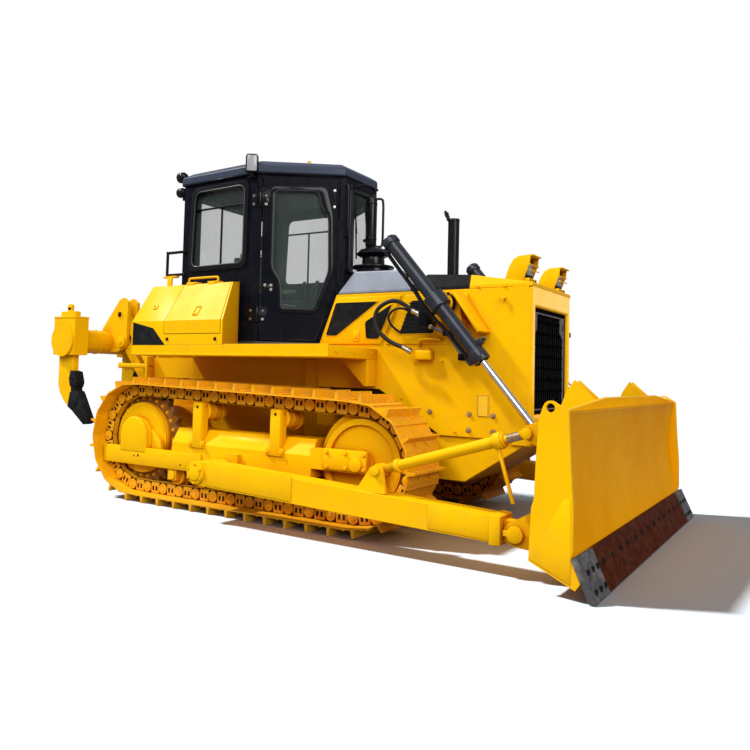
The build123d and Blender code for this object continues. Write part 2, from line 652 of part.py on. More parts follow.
def door_plane(points, depth0, depth1):
    """An outline along the door and up, between two depths inward from the door's outer face."""
    plane = Plane(
        origin=(POST_CORNER[0], POST_CORNER[1], 0), x_dir=(*DOOR_DIR, 0), z_dir=(DOOR_DIR[1], -DOOR_DIR[0], 0)
    )
    ring = [plane.from_local_coords(Vector(s, h, depth0)) for s, h in points]
    face = Face(Wire.make_polygon(ring, close=True))
    return extrude(face, amount=depth1 - depth0, dir=(-DOOR_OUT[0], -DOOR_OUT[1], 0))


def cab_plan(grow, front=None):
    """The cab's six-sided plan, its walls moved out by grow, or the front one by its own amount."""
    front = grow if front is None else front
    right = [
        (CAB_REAR_X - grow, CAB_REAR_HALF + grow), (CAB_POST_X + grow * 0.3, CAB_POST_HALF + grow),
        (CAB_FRONT_X + front, CAB_FRONT_HALF + grow * 0.6),
    ]
    return right + [(x, -y) for x, y in reversed(right)]


PARTS["cab_floor"] = plate_xy(cab_plan(-2), FENDER_TOP_Z + SEAT_GAP, CAB_SILL_Z)

side_wall = plate_xy(
    [
        REAR_CORNER, POST_CORNER, (CAB_POST_X, CAB_POST_HALF - CAB_WALL),
        (CAB_REAR_X, CAB_REAR_HALF - CAB_WALL),
    ],
    CAB_SILL_Z,
    WALL_TOP_Z,
)
SIDE_WINDOW = ((255, 2180), (945, 2180), (945, 2925), (285, 2925))
side_wall = side_wall - plate_xz(SIDE_WINDOW, 500, 900)
PILLAR = 42.0
side_wall = side_wall + door_plane(
    [(0, CAB_SILL_Z), (PILLAR, CAB_SILL_Z), (PILLAR, WALL_TOP_Z), (0, WALL_TOP_Z)], 0, DOOR_THICK
)
HINGE_S, HINGE_OUT = 26.0, 16.0
HINGE_R = 12.0
HINGE_ZS = (1750.0, 2820.0)
HINGE_HALF = 45.0
door_hinge = (
    POST_CORNER[0] + DOOR_DIR[0] * HINGE_S + DOOR_OUT[0] * HINGE_OUT,
    POST_CORNER[1] + DOOR_DIR[1] * HINGE_S + DOOR_OUT[1] * HINGE_OUT,
)
for z in HINGE_ZS:
    for low in (z - 2 * HINGE_HALF, z + HINGE_HALF + SEAT_GAP):
        high = low + HINGE_HALF - SEAT_GAP
        leaf = door_plane([(2, low), (HINGE_S, low), (HINGE_S, high), (2, high)], -HINGE_OUT, 1)
        side_wall = side_wall + leaf + rod((*door_hinge, low), (*door_hinge, high), HINGE_R)
PARTS["cab_side_panels"] = both(side_wall)

REAR_INNER = CAB_REAR_HALF - CAB_WALL - SEAT_GAP
rear_wall = box(CAB_REAR_X, CAB_REAR_X + CAB_WALL, -REAR_INNER, REAR_INNER, CAB_SILL_Z, WALL_TOP_Z)
REAR_WINDOW_HALF = 540.0
REAR_WINDOW_Z = (2120.0, 2900.0)
PARTS["cab_rear_panel"] = rear_wall - box(0, 300, -REAR_WINDOW_HALF, REAR_WINDOW_HALF, *REAR_WINDOW_Z)

FRONT_PILLAR = 58.0
FRONT_WALL = 45.0
DOOR_LOW_S = 554.0
DOOR_CUT_Z = 1990.0
DOOR_GAP = 8.0
door_front_s = DOOR_LEN - FRONT_PILLAR - DOOR_GAP
front = box(CAB_FRONT_X - FRONT_WALL, CAB_FRONT_X, -CAB_FRONT_HALF, CAB_FRONT_HALF, CAB_SILL_Z, WALL_TOP_Z)
cut_slope = (DOOR_LEN - DOOR_LOW_S) / (2150 - CAB_SILL_Z)


def slant_s(z, gap=0.0):
    """Where the door's slanted front edge lies at height z."""
    return DOOR_LOW_S + (z - CAB_SILL_Z) * cut_slope + gap


pillar_z = CAB_SILL_Z + (door_front_s - DOOR_LOW_S) / cut_slope
front_side = door_plane(
    [
        (slant_s(CAB_SILL_Z, DOOR_GAP), CAB_SILL_Z), (DOOR_LEN, CAB_SILL_Z), (DOOR_LEN, WALL_TOP_Z),
        (DOOR_LEN - FRONT_PILLAR, WALL_TOP_Z), (DOOR_LEN - FRONT_PILLAR, pillar_z),
    ],
    0, DOOR_THICK,
)
FRONT_WINDOW_HALF = 215.0
FRONT_WINDOW_Z = (2130.0, 2900.0)
front = front + front_side + mirrored(front_side)
PARTS["cab_front_panel"] = front - box(1500, 1800, -FRONT_WINDOW_HALF, FRONT_WINDOW_HALF, *FRONT_WINDOW_Z)

ROOF_GROW = 25.0
ROOF_BAND_Z = CAB_EAVES_Z + 75
eaves = plate_xy(cab_plan(ROOF_GROW, front=0), CAB_EAVES_Z, ROOF_BAND_Z)
slope = Solid.make_loft(
    [
        Wire.make_polygon([(x, y, ROOF_BAND_Z) for x, y in cab_plan(ROOF_GROW, front=0)], close=True),
        Wire.make_polygon([(x, y, CAB_ROOF_Z) for x, y in cab_plan(-60, front=-85)], close=True),
    ],
    ruled=True,
)
PARTS["cab_roof"] = eaves + slope

DOOR_OUTLINE = [
    (PILLAR + DOOR_GAP, CAB_SILL_Z + 10), (slant_s(CAB_SILL_Z + 10), CAB_SILL_Z + 10),
    (door_front_s, pillar_z), (door_front_s, WALL_TOP_Z - DOOR_GAP),
    (PILLAR + DOOR_GAP, WALL_TOP_Z - DOOR_GAP),
]
DOOR_WINDOW = [
    (142, 2140), (142, 2860), (600, 2870), (660, 2630), (672, 2120), (540, 1765), (235, 1765), (222, 2030),
]
door = door_plane(DOOR_OUTLINE, 0, DOOR_THICK) - door_plane(DOOR_WINDOW, -10, DOOR_THICK + 10)
for z in HINGE_ZS:
    low, high = z - HINGE_HALF, z + HINGE_HALF
    for start, out, inward in ((HINGE_S, -12, -2), (PILLAR + DOOR_GAP, -3, 1)):
        leaf = [(start, low), (HINGE_S + 90, low), (HINGE_S + 90, high), (start, high)]
        door = door + door_plane(leaf, out, inward)
    door = door + rod((*door_hinge, low), (*door_hinge, high), HINGE_R)
PARTS["door_left"] = door
PARTS["door_right"] = mirrored(door)


def glass_in(opening, clearance):
    """A pane's outline, drawn in from the opening's edge on both sides."""
    cx, cz = (sum(values) / len(opening) for values in zip(*opening))
    out = []
    for x, z in opening:
        size = hypot(x - cx, z - cz)
        out.append((x - (x - cx) / size * clearance, z - (z - cz) / size * clearance))
    return out


pane = door_plane(glass_in(DOOR_WINDOW, SEAT_GAP), 20, 20 + GLASS_THICK)
PARTS["door_glass_left"] = pane
PARTS["door_glass_right"] = mirrored(pane)
side_glass_y = CAB_REAR_HALF - 34
side_pane = plate_xz(glass_in(SIDE_WINDOW, SEAT_GAP), side_glass_y, side_glass_y + GLASS_THICK)


def flat_pane(x, half, heights):
    """The front or rear pane, a seat gap inside its opening."""
    half = half - SEAT_GAP
    return box(x, x + GLASS_THICK, -half, half, heights[0] + SEAT_GAP, heights[1] - SEAT_GAP)


rear_pane = flat_pane(CAB_REAR_X + 20, REAR_WINDOW_HALF, REAR_WINDOW_Z)
front_pane = flat_pane(CAB_FRONT_X - 22, FRONT_WINDOW_HALF, FRONT_WINDOW_Z)
PARTS["cab_glass"] = both(side_pane) + [rear_pane, front_pane]

# seat and controls
SEAT_X = 620.0
SEAT_TOP_Z = 1780.0
SEAT_BACK_X = SEAT_X - 215 + SEAT_GAP
seat_base = box(SEAT_X - 190, SEAT_X + 190, -190, 190, CAB_SILL_Z, SEAT_TOP_Z)
seat_base = seat_base + box(SEAT_X - 260, SEAT_X - 215, -230, 230, SEAT_TOP_Z - 80, SEAT_TOP_Z + 570)
seat_base = seat_base + box(SEAT_X - 230, SEAT_X - 150, -150, 150, SEAT_TOP_Z - 80, SEAT_TOP_Z)
PARTS["seat_cushions"] = [
    box(SEAT_X - 170, SEAT_X + 260, -240, 240, SEAT_TOP_Z + SEAT_GAP, SEAT_TOP_Z + 110),
    plate_xz(
        [
            (SEAT_BACK_X, SEAT_TOP_Z + 120), (SEAT_BACK_X + 105, SEAT_TOP_Z + 120),
            (SEAT_BACK_X + 75, SEAT_TOP_Z + 640), (SEAT_BACK_X, SEAT_TOP_Z + 640),
        ],
        -240,
        240,
    ),
]
console = box(SEAT_X - 150, SEAT_X + 330, 300, 480, CAB_SILL_Z, 1950)
console = console + rod((SEAT_X + 250, 390, 1949), (SEAT_X + 280, 390, 2130), 14)
dash = plate_xz([(1400, CAB_SILL_Z), (1560, CAB_SILL_Z), (1600, 1960), (1480, 2020), (1380, 1920)], -190, 190)
PARTS["cab_fittings"] = [seat_base, console, mirrored(console), dash]


def front_lamp():
    """A tall square lamp beside the roof at the door post."""
    x, y, z = CAB_POST_X - 40, CAB_POST_HALF + 45, CAB_EAVES_Z + 70
    housing = box(x - 50, x + 50, y - 45, y + 45, z - 100, z + 105)
    stem = box(x - 30, x + 30, CAB_POST_HALF - 40, y, z - 100, z - 60)
    return (housing + stem) - PARTS["cab_roof"] - PARTS["cab_side_panels"][0]


def rear_lamp(x, y, z):
    """A round lamp facing back from the cab's rear wall."""
    head = rod((x, y, z), (x - 80, y, z), 52)
    stem = box(x, CAB_REAR_X - SEAT_GAP, y - 12, y + 12, z - 12, z + 12)
    return (head + stem) - PARTS["cab_roof"] - PARTS["cab_side_panels"][0]


REAR_LAMPS = ((100.0, CAB_REAR_HALF - 20, 3098.0), (60.0, CAB_REAR_HALF - 60, 2960.0))
lamps = [front_lamp()] + [rear_lamp(*place) for place in REAR_LAMPS]
PARTS["cab_lamps"] = lamps + [mirrored(s) for s in lamps]

RAIL_R = 14.0
RAIL_OUT_Y = CAB_REAR_HALF + 20
RAIL_REAR_X = CAB_REAR_X - 185
RAIL_Z = (2130.0, 2350.0)
MIRROR_X = CAB_FRONT_X + 82
MIRROR_Y = CAB_FRONT_HALF + 90
MIRROR_Z = (2420.0, 2885.0)


def grab_rail():
    """The hand rail at the cab's rear corner: a hoop behind the corner on two feet."""
    foot_x = CAB_REAR_X + 40
    x, y = RAIL_REAR_X, RAIL_OUT_Y
    rail = rod((x, y, RAIL_Z[0] - RAIL_R), (x, y, RAIL_Z[1] + RAIL_R), RAIL_R)
    for z in RAIL_Z:
        rail = rail + rod((x, y, z), (foot_x + RAIL_R, y, z), RAIL_R)
        rail = rail + rod((foot_x, y, z), (foot_x, CAB_REAR_HALF - 5, z), RAIL_R)
    return rail - PARTS["cab_side_panels"][0]


def cab_mirror():
    """A tall mirror ahead of the front corner, on an upper and a lower arm from the front wall."""
    housing = box(MIRROR_X - 22, MIRROR_X + 22, MIRROR_Y - 60, MIRROR_Y + 60, *MIRROR_Z)
    for z in (MIRROR_Z[0] + 60, MIRROR_Z[1] - 50):
        root = (CAB_FRONT_X - 8, CAB_FRONT_HALF - 28, z)
        housing = housing + rod(root, (MIRROR_X, MIRROR_Y - 30, z), 10)
    return housing - PARTS["cab_front_panel"]


PARTS["grab_rails"] = both(grab_rail())
PARTS["cab_mirrors"] = both(cab_mirror())

# ---------------------------------------------------------------- blade lift cylinders
LIFT_LEN = hypot(LIFT_EYE[0] - LIFT_TRUNNION[0], LIFT_EYE[1] - LIFT_TRUNNION[1])
LIFT_DIR = tuple((eye - trunnion) / LIFT_LEN for eye, trunnion in zip(LIFT_EYE, LIFT_TRUNNION))


def on_lift(distance, y=LIFT_Y):
    """A point on the left lift cylinder's axis, measured from its trunnion towards the eye."""
    return (LIFT_TRUNNION[0] + LIFT_DIR[0] * distance, y, LIFT_TRUNNION[1] + LIFT_DIR[1] * distance)


TRUNNION_PIN_R = 38.0
RING_R = LIFT_BARREL_R + 30
RING_HALF = 55.0
YOKE_FACE = LIFT_Y - RING_R - 20
yoke = plate_xz(
    [(LIFT_TRUNNION[0] - 110, LIFT_TRUNNION[1] - 130), (LIFT_TRUNNION[0] + 130, LIFT_TRUNNION[1] - 130),
     (LIFT_TRUNNION[0] + 90, LIFT_TRUNNION[1] + 80), (LIFT_TRUNNION[0] - 70, LIFT_TRUNNION[1] + 80)],
    ENGINE_HALF, YOKE_FACE - 60,
)
yoke = yoke + rod_y(LIFT_TRUNNION, 78, ENGINE_HALF, YOKE_FACE)
yoke = yoke - rod_y(LIFT_TRUNNION, TRUNNION_PIN_R + RUN_FIT, YOKE_FACE - 90, YOKE_FACE + 5)
PARTS["lift_yokes"] = both(yoke)


def lift_barrel():
    tube = rod(on_lift(-LIFT_TOP), on_lift(LIFT_GLAND), LIFT_BARREL_R)
    head = rod(on_lift(LIFT_GLAND - 70), on_lift(LIFT_GLAND), LIFT_BARREL_R + 10)
    cap = rod(on_lift(-LIFT_TOP), on_lift(-LIFT_TOP + 45), LIFT_BARREL_R + 8)
    ring = rod(on_lift(-RING_HALF), on_lift(RING_HALF), RING_R)
    pin = rod_y(LIFT_TRUNNION, TRUNNION_PIN_R, YOKE_FACE - 85, LIFT_Y)
    bore = rod(on_lift(-LIFT_TOP + 30), on_lift(LIFT_GLAND + 5), LIFT_ROD_R + ROD_GAP)
    return tube + head + cap + ring + pin - bore


PARTS["lift_barrels"] = both(lift_barrel())
ROD_INNER = 160.0           # the rod's inner end, from the trunnion
EYE_R = 58.0
EYE_HALF = 32.0
EYE_PIN_R = 30.0


def lift_rod():
    bar = rod(on_lift(ROD_INNER), on_lift(LIFT_LEN - EYE_R + 8), LIFT_ROD_R)
    eye = rod_y(LIFT_EYE, EYE_R, LIFT_Y - EYE_HALF, LIFT_Y + EYE_HALF)
    stub = rod_y(LIFT_EYE, EYE_PIN_R, LIFT_Y - EYE_HALF - 3, LIFT_Y + EYE_HALF + 3)
    return bar + eye + stub


PARTS["lift_rods"] = both(lift_rod())

# ---------------------------------------------------------------- push arms
arm_in, arm_out = ARM_Y - ARM_WIDTH / 2, ARM_Y + ARM_WIDTH / 2
TONGUE_HALF = 42.0
EAR_THICK = 36.0
BRACE_REAR = (2790.0, 555.0)
BRACE_Y = ARM_Y


def push_arm():
    px, pz = ARM_PIVOT
    ex, ez = ARM_EYE
    body = plate_xz(
        [(px, pz + 95), (ex - 130, ez + 92), (ex - 100, ez + 80), (ex - 100, ez - 72), (px, pz - 95)],
        arm_in, arm_out,
    )
    body = body + rod_y(ARM_PIVOT, 95, arm_in, arm_out)
    tongue = plate_xz([(ex - 110, ez + 75), (ex, ez + 65), (ex, ez - 65), (ex - 110, ez - 68)],
                      ARM_Y - TONGUE_HALF, ARM_Y + TONGUE_HALF)
    tongue = tongue + rod_y(ARM_EYE, 66, ARM_Y - TONGUE_HALF, ARM_Y + TONGUE_HALF)
    body = body + tongue
    bx, bz = BRACE_REAR
    for side in (-1, 1):
        y = BRACE_Y + side * 52
        ear = plate_xz([(bx - 160, bz - 150), (bx - 45, bz + 22), (bx + 45, bz + 30), (bx + 75, bz - 150)],
                       y - 14, y + 14)
        body = body + ear
    return body - rod_y(ARM_PIVOT, TRUNNION_R + RUN_FIT, arm_in - 5, arm_out + 5)


PARTS["push_arms"] = both(push_arm())

# ---------------------------------------------------------------- blade
EDGE_TOP = (EDGE_TIP_X - 104, 240.0)
EDGE_BACK_TOP = (EDGE_TIP_X - 132, 228.0)
EDGE_BACK_LOW = (EDGE_TIP_X - 33, BLADE_FLOOR_GAP)
edge_section = [(EDGE_TIP_X, BLADE_FLOOR_GAP), EDGE_TOP, EDGE_BACK_TOP, EDGE_BACK_LOW]
BIT_LENGTH = 330.0
PARTS["cutting_edge"] = plate_xz(edge_section, -BLADE_HALF + BIT_LENGTH, BLADE_HALF - BIT_LENGTH)
bit = plate_xz(edge_section, BLADE_HALF - BIT_LENGTH + SEAT_GAP, BLADE_HALF)
PARTS["end_bits"] = both(bit)

MOULD_THICK = 22.0
END_PLATE = 30.0
MOULD_HALF = BLADE_HALF - END_PLATE
MOULD_TOP_X = EDGE_TIP_X - 158
MOULD_MID = (EDGE_TIP_X - 195, 620.0)
EDGE_GAP = SEAT_GAP + 0.1   # along X, as the edge leans
MOULD_FOOT = (EDGE_BACK_TOP[0] - EDGE_GAP, EDGE_BACK_TOP[1])
MOULD_LOW = along(MOULD_FOOT, (EDGE_BACK_LOW[0] - EDGE_GAP, EDGE_BACK_LOW[1]), 0.55)


def mould_profile(y):
    """The mouldboard's section: a straight foot behind the edge, then a hollow curve to the top."""
    foot = Line((MOULD_LOW[0], y, MOULD_LOW[1]), (MOULD_FOOT[0], y, MOULD_FOOT[1]))
    curve = ThreePointArc(foot @ 1, (MOULD_MID[0], y, MOULD_MID[1]), (MOULD_TOP_X, y, BLADE_TOP_Z))
    top = Line(curve @ 1, (MOULD_TOP_X - MOULD_THICK, y, BLADE_TOP_Z))
    back = ThreePointArc(top @ 1, (MOULD_MID[0] - MOULD_THICK, y, MOULD_MID[1]),
                         (EDGE_BACK_TOP[0] - MOULD_THICK, y, EDGE_BACK_TOP[1] - 8))
    heel = Line(back @ 1, (MOULD_LOW[0] - MOULD_THICK, y, MOULD_LOW[1] - 8))
    shut = Line(heel @ 1, foot @ 0)
    return Face(Wire([foot, curve, top, back, heel, shut]))


mould = extrude(mould_profile(-MOULD_HALF), amount=2 * MOULD_HALF, dir=(0, 1, 0))
SPILL_HALF = BLADE_HALF - 874
spill = plate_yz(
    [
        (-MOULD_HALF, BLADE_TOP_Z - 20), (MOULD_HALF, BLADE_TOP_Z - 20), (MOULD_HALF, BLADE_TOP_Z),
        (SPILL_HALF, BLADE_TOP_Z + 62), (-SPILL_HALF, BLADE_TOP_Z + 62), (-MOULD_HALF, BLADE_TOP_Z),
    ],
    MOULD_TOP_X - MOULD_THICK,
    MOULD_TOP_X - 2,
)
PARTS["mouldboard"] = mould + spill

LUG = (EDGE_TIP_X - 252, BLADE_TOP_Z + 15)
LUG_HOLE_R = 26.0


def end_plate():
    x = EDGE_TIP_X
    outline = [
        (x - 150, BLADE_TOP_Z), (x - 136, 712), (x - 122, 500), (x - 122, 262), MOULD_FOOT, MOULD_LOW,
        (MOULD_LOW[0] - 30, 62), (x - 368, 183), (x - 355, 480), (x - 340, 530), (x - 330, 780),
        (x - 315, 985), (LUG[0] - 40, LUG[1] + 10), (LUG[0] + 22, LUG[1] + 34),
    ]
    plate = plate_xz(outline, MOULD_HALF, BLADE_HALF) + rod_y(LUG, 40, MOULD_HALF, BLADE_HALF)
    return plate - rod_y(LUG, LUG_HOLE_R, MOULD_HALF - 5, BLADE_HALF + 5)


LOW_BEAM = ((-355, 180), (-115, 62), (-85, 110), (-150, 430), (-350, 430))     # X from the edge's tip, Z
HIGH_BEAM = ((-290, 840), (-170, 810), (-170, 990), (-270, 985))
RIB_YS = (0, 420, 1130, MOULD_HALF - 104)
BRACE_FRONT = (3880.0, 885.0)
BRACE_FRONT_Y = MOULD_HALF - 144


def blade_back():
    """The welded back of the blade: a low and a high beam with ribs between them."""
    x = EDGE_TIP_X
    low, high = ([(x + dx, z) for dx, z in outline] for outline in (LOW_BEAM, HIGH_BEAM))
    back = plate_xz(low, -MOULD_HALF, MOULD_HALF) + plate_xz(high, -MOULD_HALF, MOULD_HALF)
    rib = [(x - 325, 425), (x - 165, 425), (x - 165, 845), (x - 270, 845)]
    for y in RIB_YS:
        for side in (-1, 1) if y else (1,):
            back = back + plate_xz(rib, side * y - 12, side * y + 12)
    return back


def arm_ears():
    """The pair of ears that a push arm's tongue is pinned between."""
    ears = []
    x, z = ARM_EYE
    outline = [(x - 20, z - 76), (3960, 178), (4100, 140), (4100, 470), (3960, 470), (x - 10, z + 78)]
    for start in (ARM_Y - TONGUE_HALF - SEAT_GAP - EAR_THICK, ARM_Y + TONGUE_HALF + SEAT_GAP):
        end = start + EAR_THICK
        ears.append(plate_xz(outline, start, end) + rod_y(ARM_EYE, 78, start, end))
    return ears


def brace_ears():
    outline = [(3850, 860), (3860, 925), (3990, 985), (4120, 985), (4120, 800), (3960, 800)]
    middles = (BRACE_FRONT_Y - 40, BRACE_FRONT_Y + 40)
    return [plate_xz(outline, y - 12, y + 12) for y in middles]


def lift_ears():
    """The ears at a lift cylinder's eye, left open between and behind for the rod."""
    x, z = LIFT_EYE
    outline = [
        (x - 60, 640), (x - 50, 760), (3890, 1120), (3945, 1205), (4125, 1040), (4125, 470), (3960, 470),
    ]
    ears = []
    for side in (-1, 1):
        y = LIFT_Y + side * (EYE_HALF + LINK_GAP + 18)
        ears.append(plate_xz(outline, y - 12, y + 12) + rod_y(LIFT_EYE, EYE_PIN_R + 12, y, y + side * 24))
    return ears


def behind_mould():
    """Everything ahead of the mouldboard's rear face, to be cut from what is welded to it."""
    y, reach = -BLADE_HALF - 300, EDGE_TIP_X + 300
    low = (MOULD_LOW[0] - MOULD_THICK, y, MOULD_LOW[1] - 8)
    foot = (EDGE_BACK_TOP[0] - MOULD_THICK, y, EDGE_BACK_TOP[1] - 8)
    top = (MOULD_TOP_X - MOULD_THICK, y, BLADE_TOP_Z)
    corners = [top, (top[0], y, 1500), (reach, y, 1500), (reach, y, -100), (MOULD_LOW[0] + 10, y, -100), low]
    edges = [Line(low, foot), ThreePointArc(foot, (MOULD_MID[0] - MOULD_THICK, y, MOULD_MID[1]), top)]
    edges = edges + [Line(start, end) for start, end in zip(corners, corners[1:])]
    return extrude(Face(Wire(edges)), amount=-2 * y, dir=(0, 1, 0))


front_space = behind_mould()
welded_back = blade_back() - front_space
PARTS["blade_back"] = welded_back + end_plate() + mirrored(end_plate())
ears = [ear - front_space - welded_back for ear in arm_ears() + brace_ears() + lift_ears()]
PARTS["blade_brackets"] = ears + [mirrored(ear) for ear in ears]


def brace(tube_r, screw_r, collar_share):
    """The left-hand brace from push arm to blade: tube, collar and screw, with an eye at each end."""
    rear = (BRACE_REAR[0], BRACE_Y, BRACE_REAR[1])
    front = (BRACE_FRONT[0], BRACE_FRONT_Y, BRACE_FRONT[1])
    collar = along(rear, front, collar_share)
    out = rod(along(rear, front, 0.12), collar, tube_r)
    out = out + rod(collar, along(rear, front, 0.965), screw_r)
    out = out + rod(along(rear, front, 0.03), along(rear, front, 0.13), 30)
    out = out + rod(collar, along(rear, front, collar_share + 0.035), tube_r + 14)
    out = out + rod_y(BRACE_REAR, 46, BRACE_Y - 37.5, BRACE_Y + 37.5)
    return out + rod_y(BRACE_FRONT, 42, BRACE_FRONT_Y - 27.5, BRACE_FRONT_Y + 27.5)


PARTS["screw_brace_right"] = mirrored(brace(36, 24, 0.80))
PARTS["tilt_cylinder_left"] = brace(58, 30, 0.72)

# ---------------------------------------------------------------- ripper
ax, az = RIP_LOW_FRONT
RIP_UP_FRONT = (RIP_UP_REAR[0] + ax - RIP_LOW_REAR[0], RIP_UP_REAR[1] + az - RIP_LOW_REAR[1])
RIP_PIN_R = 30.0
LINK_EYE_R = 62.0
CLEVIS_IN = RIP_LINK_WIDTH / 2 + LINK_GAP
CLEVIS_THICK = 40.0
clevis_faces = [
    (RIP_LINK_Y - CLEVIS_IN - CLEVIS_THICK, RIP_LINK_Y - CLEVIS_IN),
    (RIP_LINK_Y + CLEVIS_IN, RIP_LINK_Y + CLEVIS_IN + CLEVIS_THICK),
]
link_y0, link_y1 = RIP_LINK_Y - RIP_LINK_WIDTH / 2, RIP_LINK_Y + RIP_LINK_WIDTH / 2
RIP_ROD_PIN = along(RIP_LOW_FRONT, RIP_LOW_REAR, RIP_CYL_SHARE)
RIP_TUBE = along(RIP_LOW_FRONT, RIP_LOW_REAR, 0.68)
RIP_EYE_HALF = 34.0
MOUNT_FACE_X = HULL_REAR_X - 40


def ripper_mount():
    """The plate on the hull's rear face, with the ears for links and cylinders."""
    ux, uz = RIP_UP_FRONT
    ear = [
        (MOUNT_FACE_X + 5, 800), (ax - 60, az - 45), (ax - 75, az + 20), (ux - 65, uz), (ux - 40, uz + 60),
        (MOUNT_FACE_X + 5, uz + 120),
    ]
    mount = box(MOUNT_FACE_X, HULL_REAR_X, -HULL_HALF, HULL_HALF, 780, HULL_TOP_Z + 60)
    for side in (-1, 1):
        for y0, y1 in clevis_faces:
            mount = mount + plate_xz(ear, side * y0, side * y1)
        y0, y1 = clevis_faces[0][0], clevis_faces[1][1]
        for pin in (RIP_LOW_FRONT, RIP_UP_FRONT):
            mount = mount + rod_y(pin, RIP_PIN_R, side * y0, side * y1)
    fx, fz = RIP_CYL_TOP
    for y0, y1 in ((-70, 70), (190, 230), (-230, -190)):
        cheek = plate_xz(
            [(MOUNT_FACE_X, HULL_TOP_Z + 5), (-330, HULL_TOP_Z + 5), (fx + 75, fz + 60), (fx - 20, fz + 70),
             (fx - 65, fz), (fx - 45, fz - 60), (MOUNT_FACE_X, HULL_TOP_Z + 250)],
            y0, y1,
        )
        mount = mount + cheek
    return mount + rod_y(RIP_CYL_TOP, RIP_PIN_R, -230, 230)


PARTS["ripper_mount"] = ripper_mount()


def ripper_lower_links():
    links = None
    for side in (-1, 1):
        y0, y1 = sorted((side * link_y0, side * link_y1))
        bar = link_bar(RIP_LOW_FRONT, RIP_LOW_REAR, 52, LINK_EYE_R, y0, y1)
        links = bar if links is None else links + bar
    links = links + rod_y(RIP_TUBE, 55, -link_y0 - 5, link_y0 + 5)
    for side in (-1, 1):
        for offset in (-RIP_EYE_HALF - LINK_GAP - 12, RIP_EYE_HALF + LINK_GAP + 12):
            y = side * (RIP_CYL_Y + offset)
            links = links + link_bar(RIP_ROD_PIN, RIP_TUBE, 40, 45, y - 12, y + 12)
    for side in (-1, 1):
        links = links + rod_y(RIP_LOW_REAR, RIP_PIN_R, side * (link_y0 - 45), side * (link_y1 + 45))
        links = links - rod_y(RIP_LOW_FRONT, RIP_PIN_R + RUN_FIT, side * (link_y0 - 5), side * (link_y1 + 5))
    return links


PARTS["ripper_lower_links"] = ripper_lower_links()


def ripper_upper_link():
    bar = link_bar(RIP_UP_FRONT, RIP_UP_REAR, 42, 55, link_y0, link_y1)
    bar = bar - rod_y(RIP_UP_FRONT, RIP_PIN_R + RUN_FIT, link_y0 - 5, link_y1 + 5)
    return bar - rod_y(RIP_UP_REAR, RIP_PIN_R + 1.0, link_y0 - 5, link_y1 + 5)


PARTS["ripper_upper_links"] = both(ripper_upper_link())

POCKET = (-1540.0, -1190.0, 1335.0, 1740.0)     # X from and to, Z from and to
POCKET_HALF = 85.0
SHANK_X = (-1500.0, -1260.0)
SHANK_HALF = 37.0


def ripper_beam():
    beam = rod_y(RIP_BEAM, RIP_BEAM_R, -RIP_BEAM_HALF + 20, RIP_BEAM_HALF - 20)
    for side in (-1, 1):
        beam = beam + rod_y(RIP_BEAM, 174, side * (RIP_BEAM_HALF - 25), side * RIP_BEAM_HALF)
        for y0, y1 in clevis_faces:
            tower = plate_xz(
                [(-1470, 1400), (-1440, 1640), (-1165, 1960), (-1105, 1985), (-1025, 1935), (-1030, 1520),
                 (-1106, 1420), (-1200, 1385)],
                side * y0, side * y1,
            )
            beam = beam + tower + rod_y(RIP_LOW_REAR, 76, side * y0, side * y1)
        pin_ends = (side * clevis_faces[0][0], side * (clevis_faces[1][1] - 30))
        beam = beam + rod_y(RIP_UP_REAR, RIP_PIN_R, *pin_ends)
    for y in (-RIP_SHANK_Y, 0, RIP_SHANK_Y):
        beam = beam + box(POCKET[0], POCKET[1], y - POCKET_HALF, y + POCKET_HALF, POCKET[2], POCKET[3])
        slot = SHANK_HALF + SEAT_GAP
        beam = beam - box(SHANK_X[0] - SEAT_GAP, SHANK_X[1] + SEAT_GAP, y - slot, y + slot, 1000, 2000)
    for side in (-1, 1):
        y0, y1 = clevis_faces[0][0] - 5, clevis_faces[1][1] + 5
        beam = beam - rod_y(RIP_LOW_REAR, RIP_PIN_R + RUN_FIT, side * y0, side * y1)
    return beam


PARTS["ripper_beam"] = ripper_beam()
SHANK_TOP_Z = 1800.0
shank_outline = [
    (SHANK_X[1], SHANK_TOP_Z), (SHANK_X[0], SHANK_TOP_Z), (SHANK_X[0], 1020), (-1465, 930), (-1400, 850),
    (-1290, 770), (-1185, 850), (-1250, 1000), (SHANK_X[1], 1150),
]
shanks = []
teeth = []
for y in (-RIP_SHANK_Y, 0, RIP_SHANK_Y):
    shank = plate_xz(shank_outline, y - SHANK_HALF, y + SHANK_HALF)
    shanks.append(shank)
    tooth = plate_xz(
        [(-1275, 1175), (-1205, 1160), (-1120, 900), (-960, 640), (-1040, 615), (-1230, 745), (-1310, 785),
         (-1262, 905), (-1300, 1090)],
        y - SHANK_HALF - 18, y + SHANK_HALF + 18,
    )
    teeth.append(tooth - shank)
PARTS["ripper_shanks"] = shanks
PARTS["ripper_teeth"] = teeth

RIP_CYL_LEN = hypot(RIP_ROD_PIN[0] - RIP_CYL_TOP[0], RIP_ROD_PIN[1] - RIP_CYL_TOP[1])
RIP_CYL_DIR = tuple((pin - top) / RIP_CYL_LEN for pin, top in zip(RIP_ROD_PIN, RIP_CYL_TOP))
RIP_BARREL_R = 52.0
RIP_ROD_R = 26.0
RIP_GLAND = RIP_CYL_LEN - 85


def on_ripper(distance):
    return (RIP_CYL_TOP[0] + RIP_CYL_DIR[0] * distance, RIP_CYL_Y, RIP_CYL_TOP[1] + RIP_CYL_DIR[1] * distance)


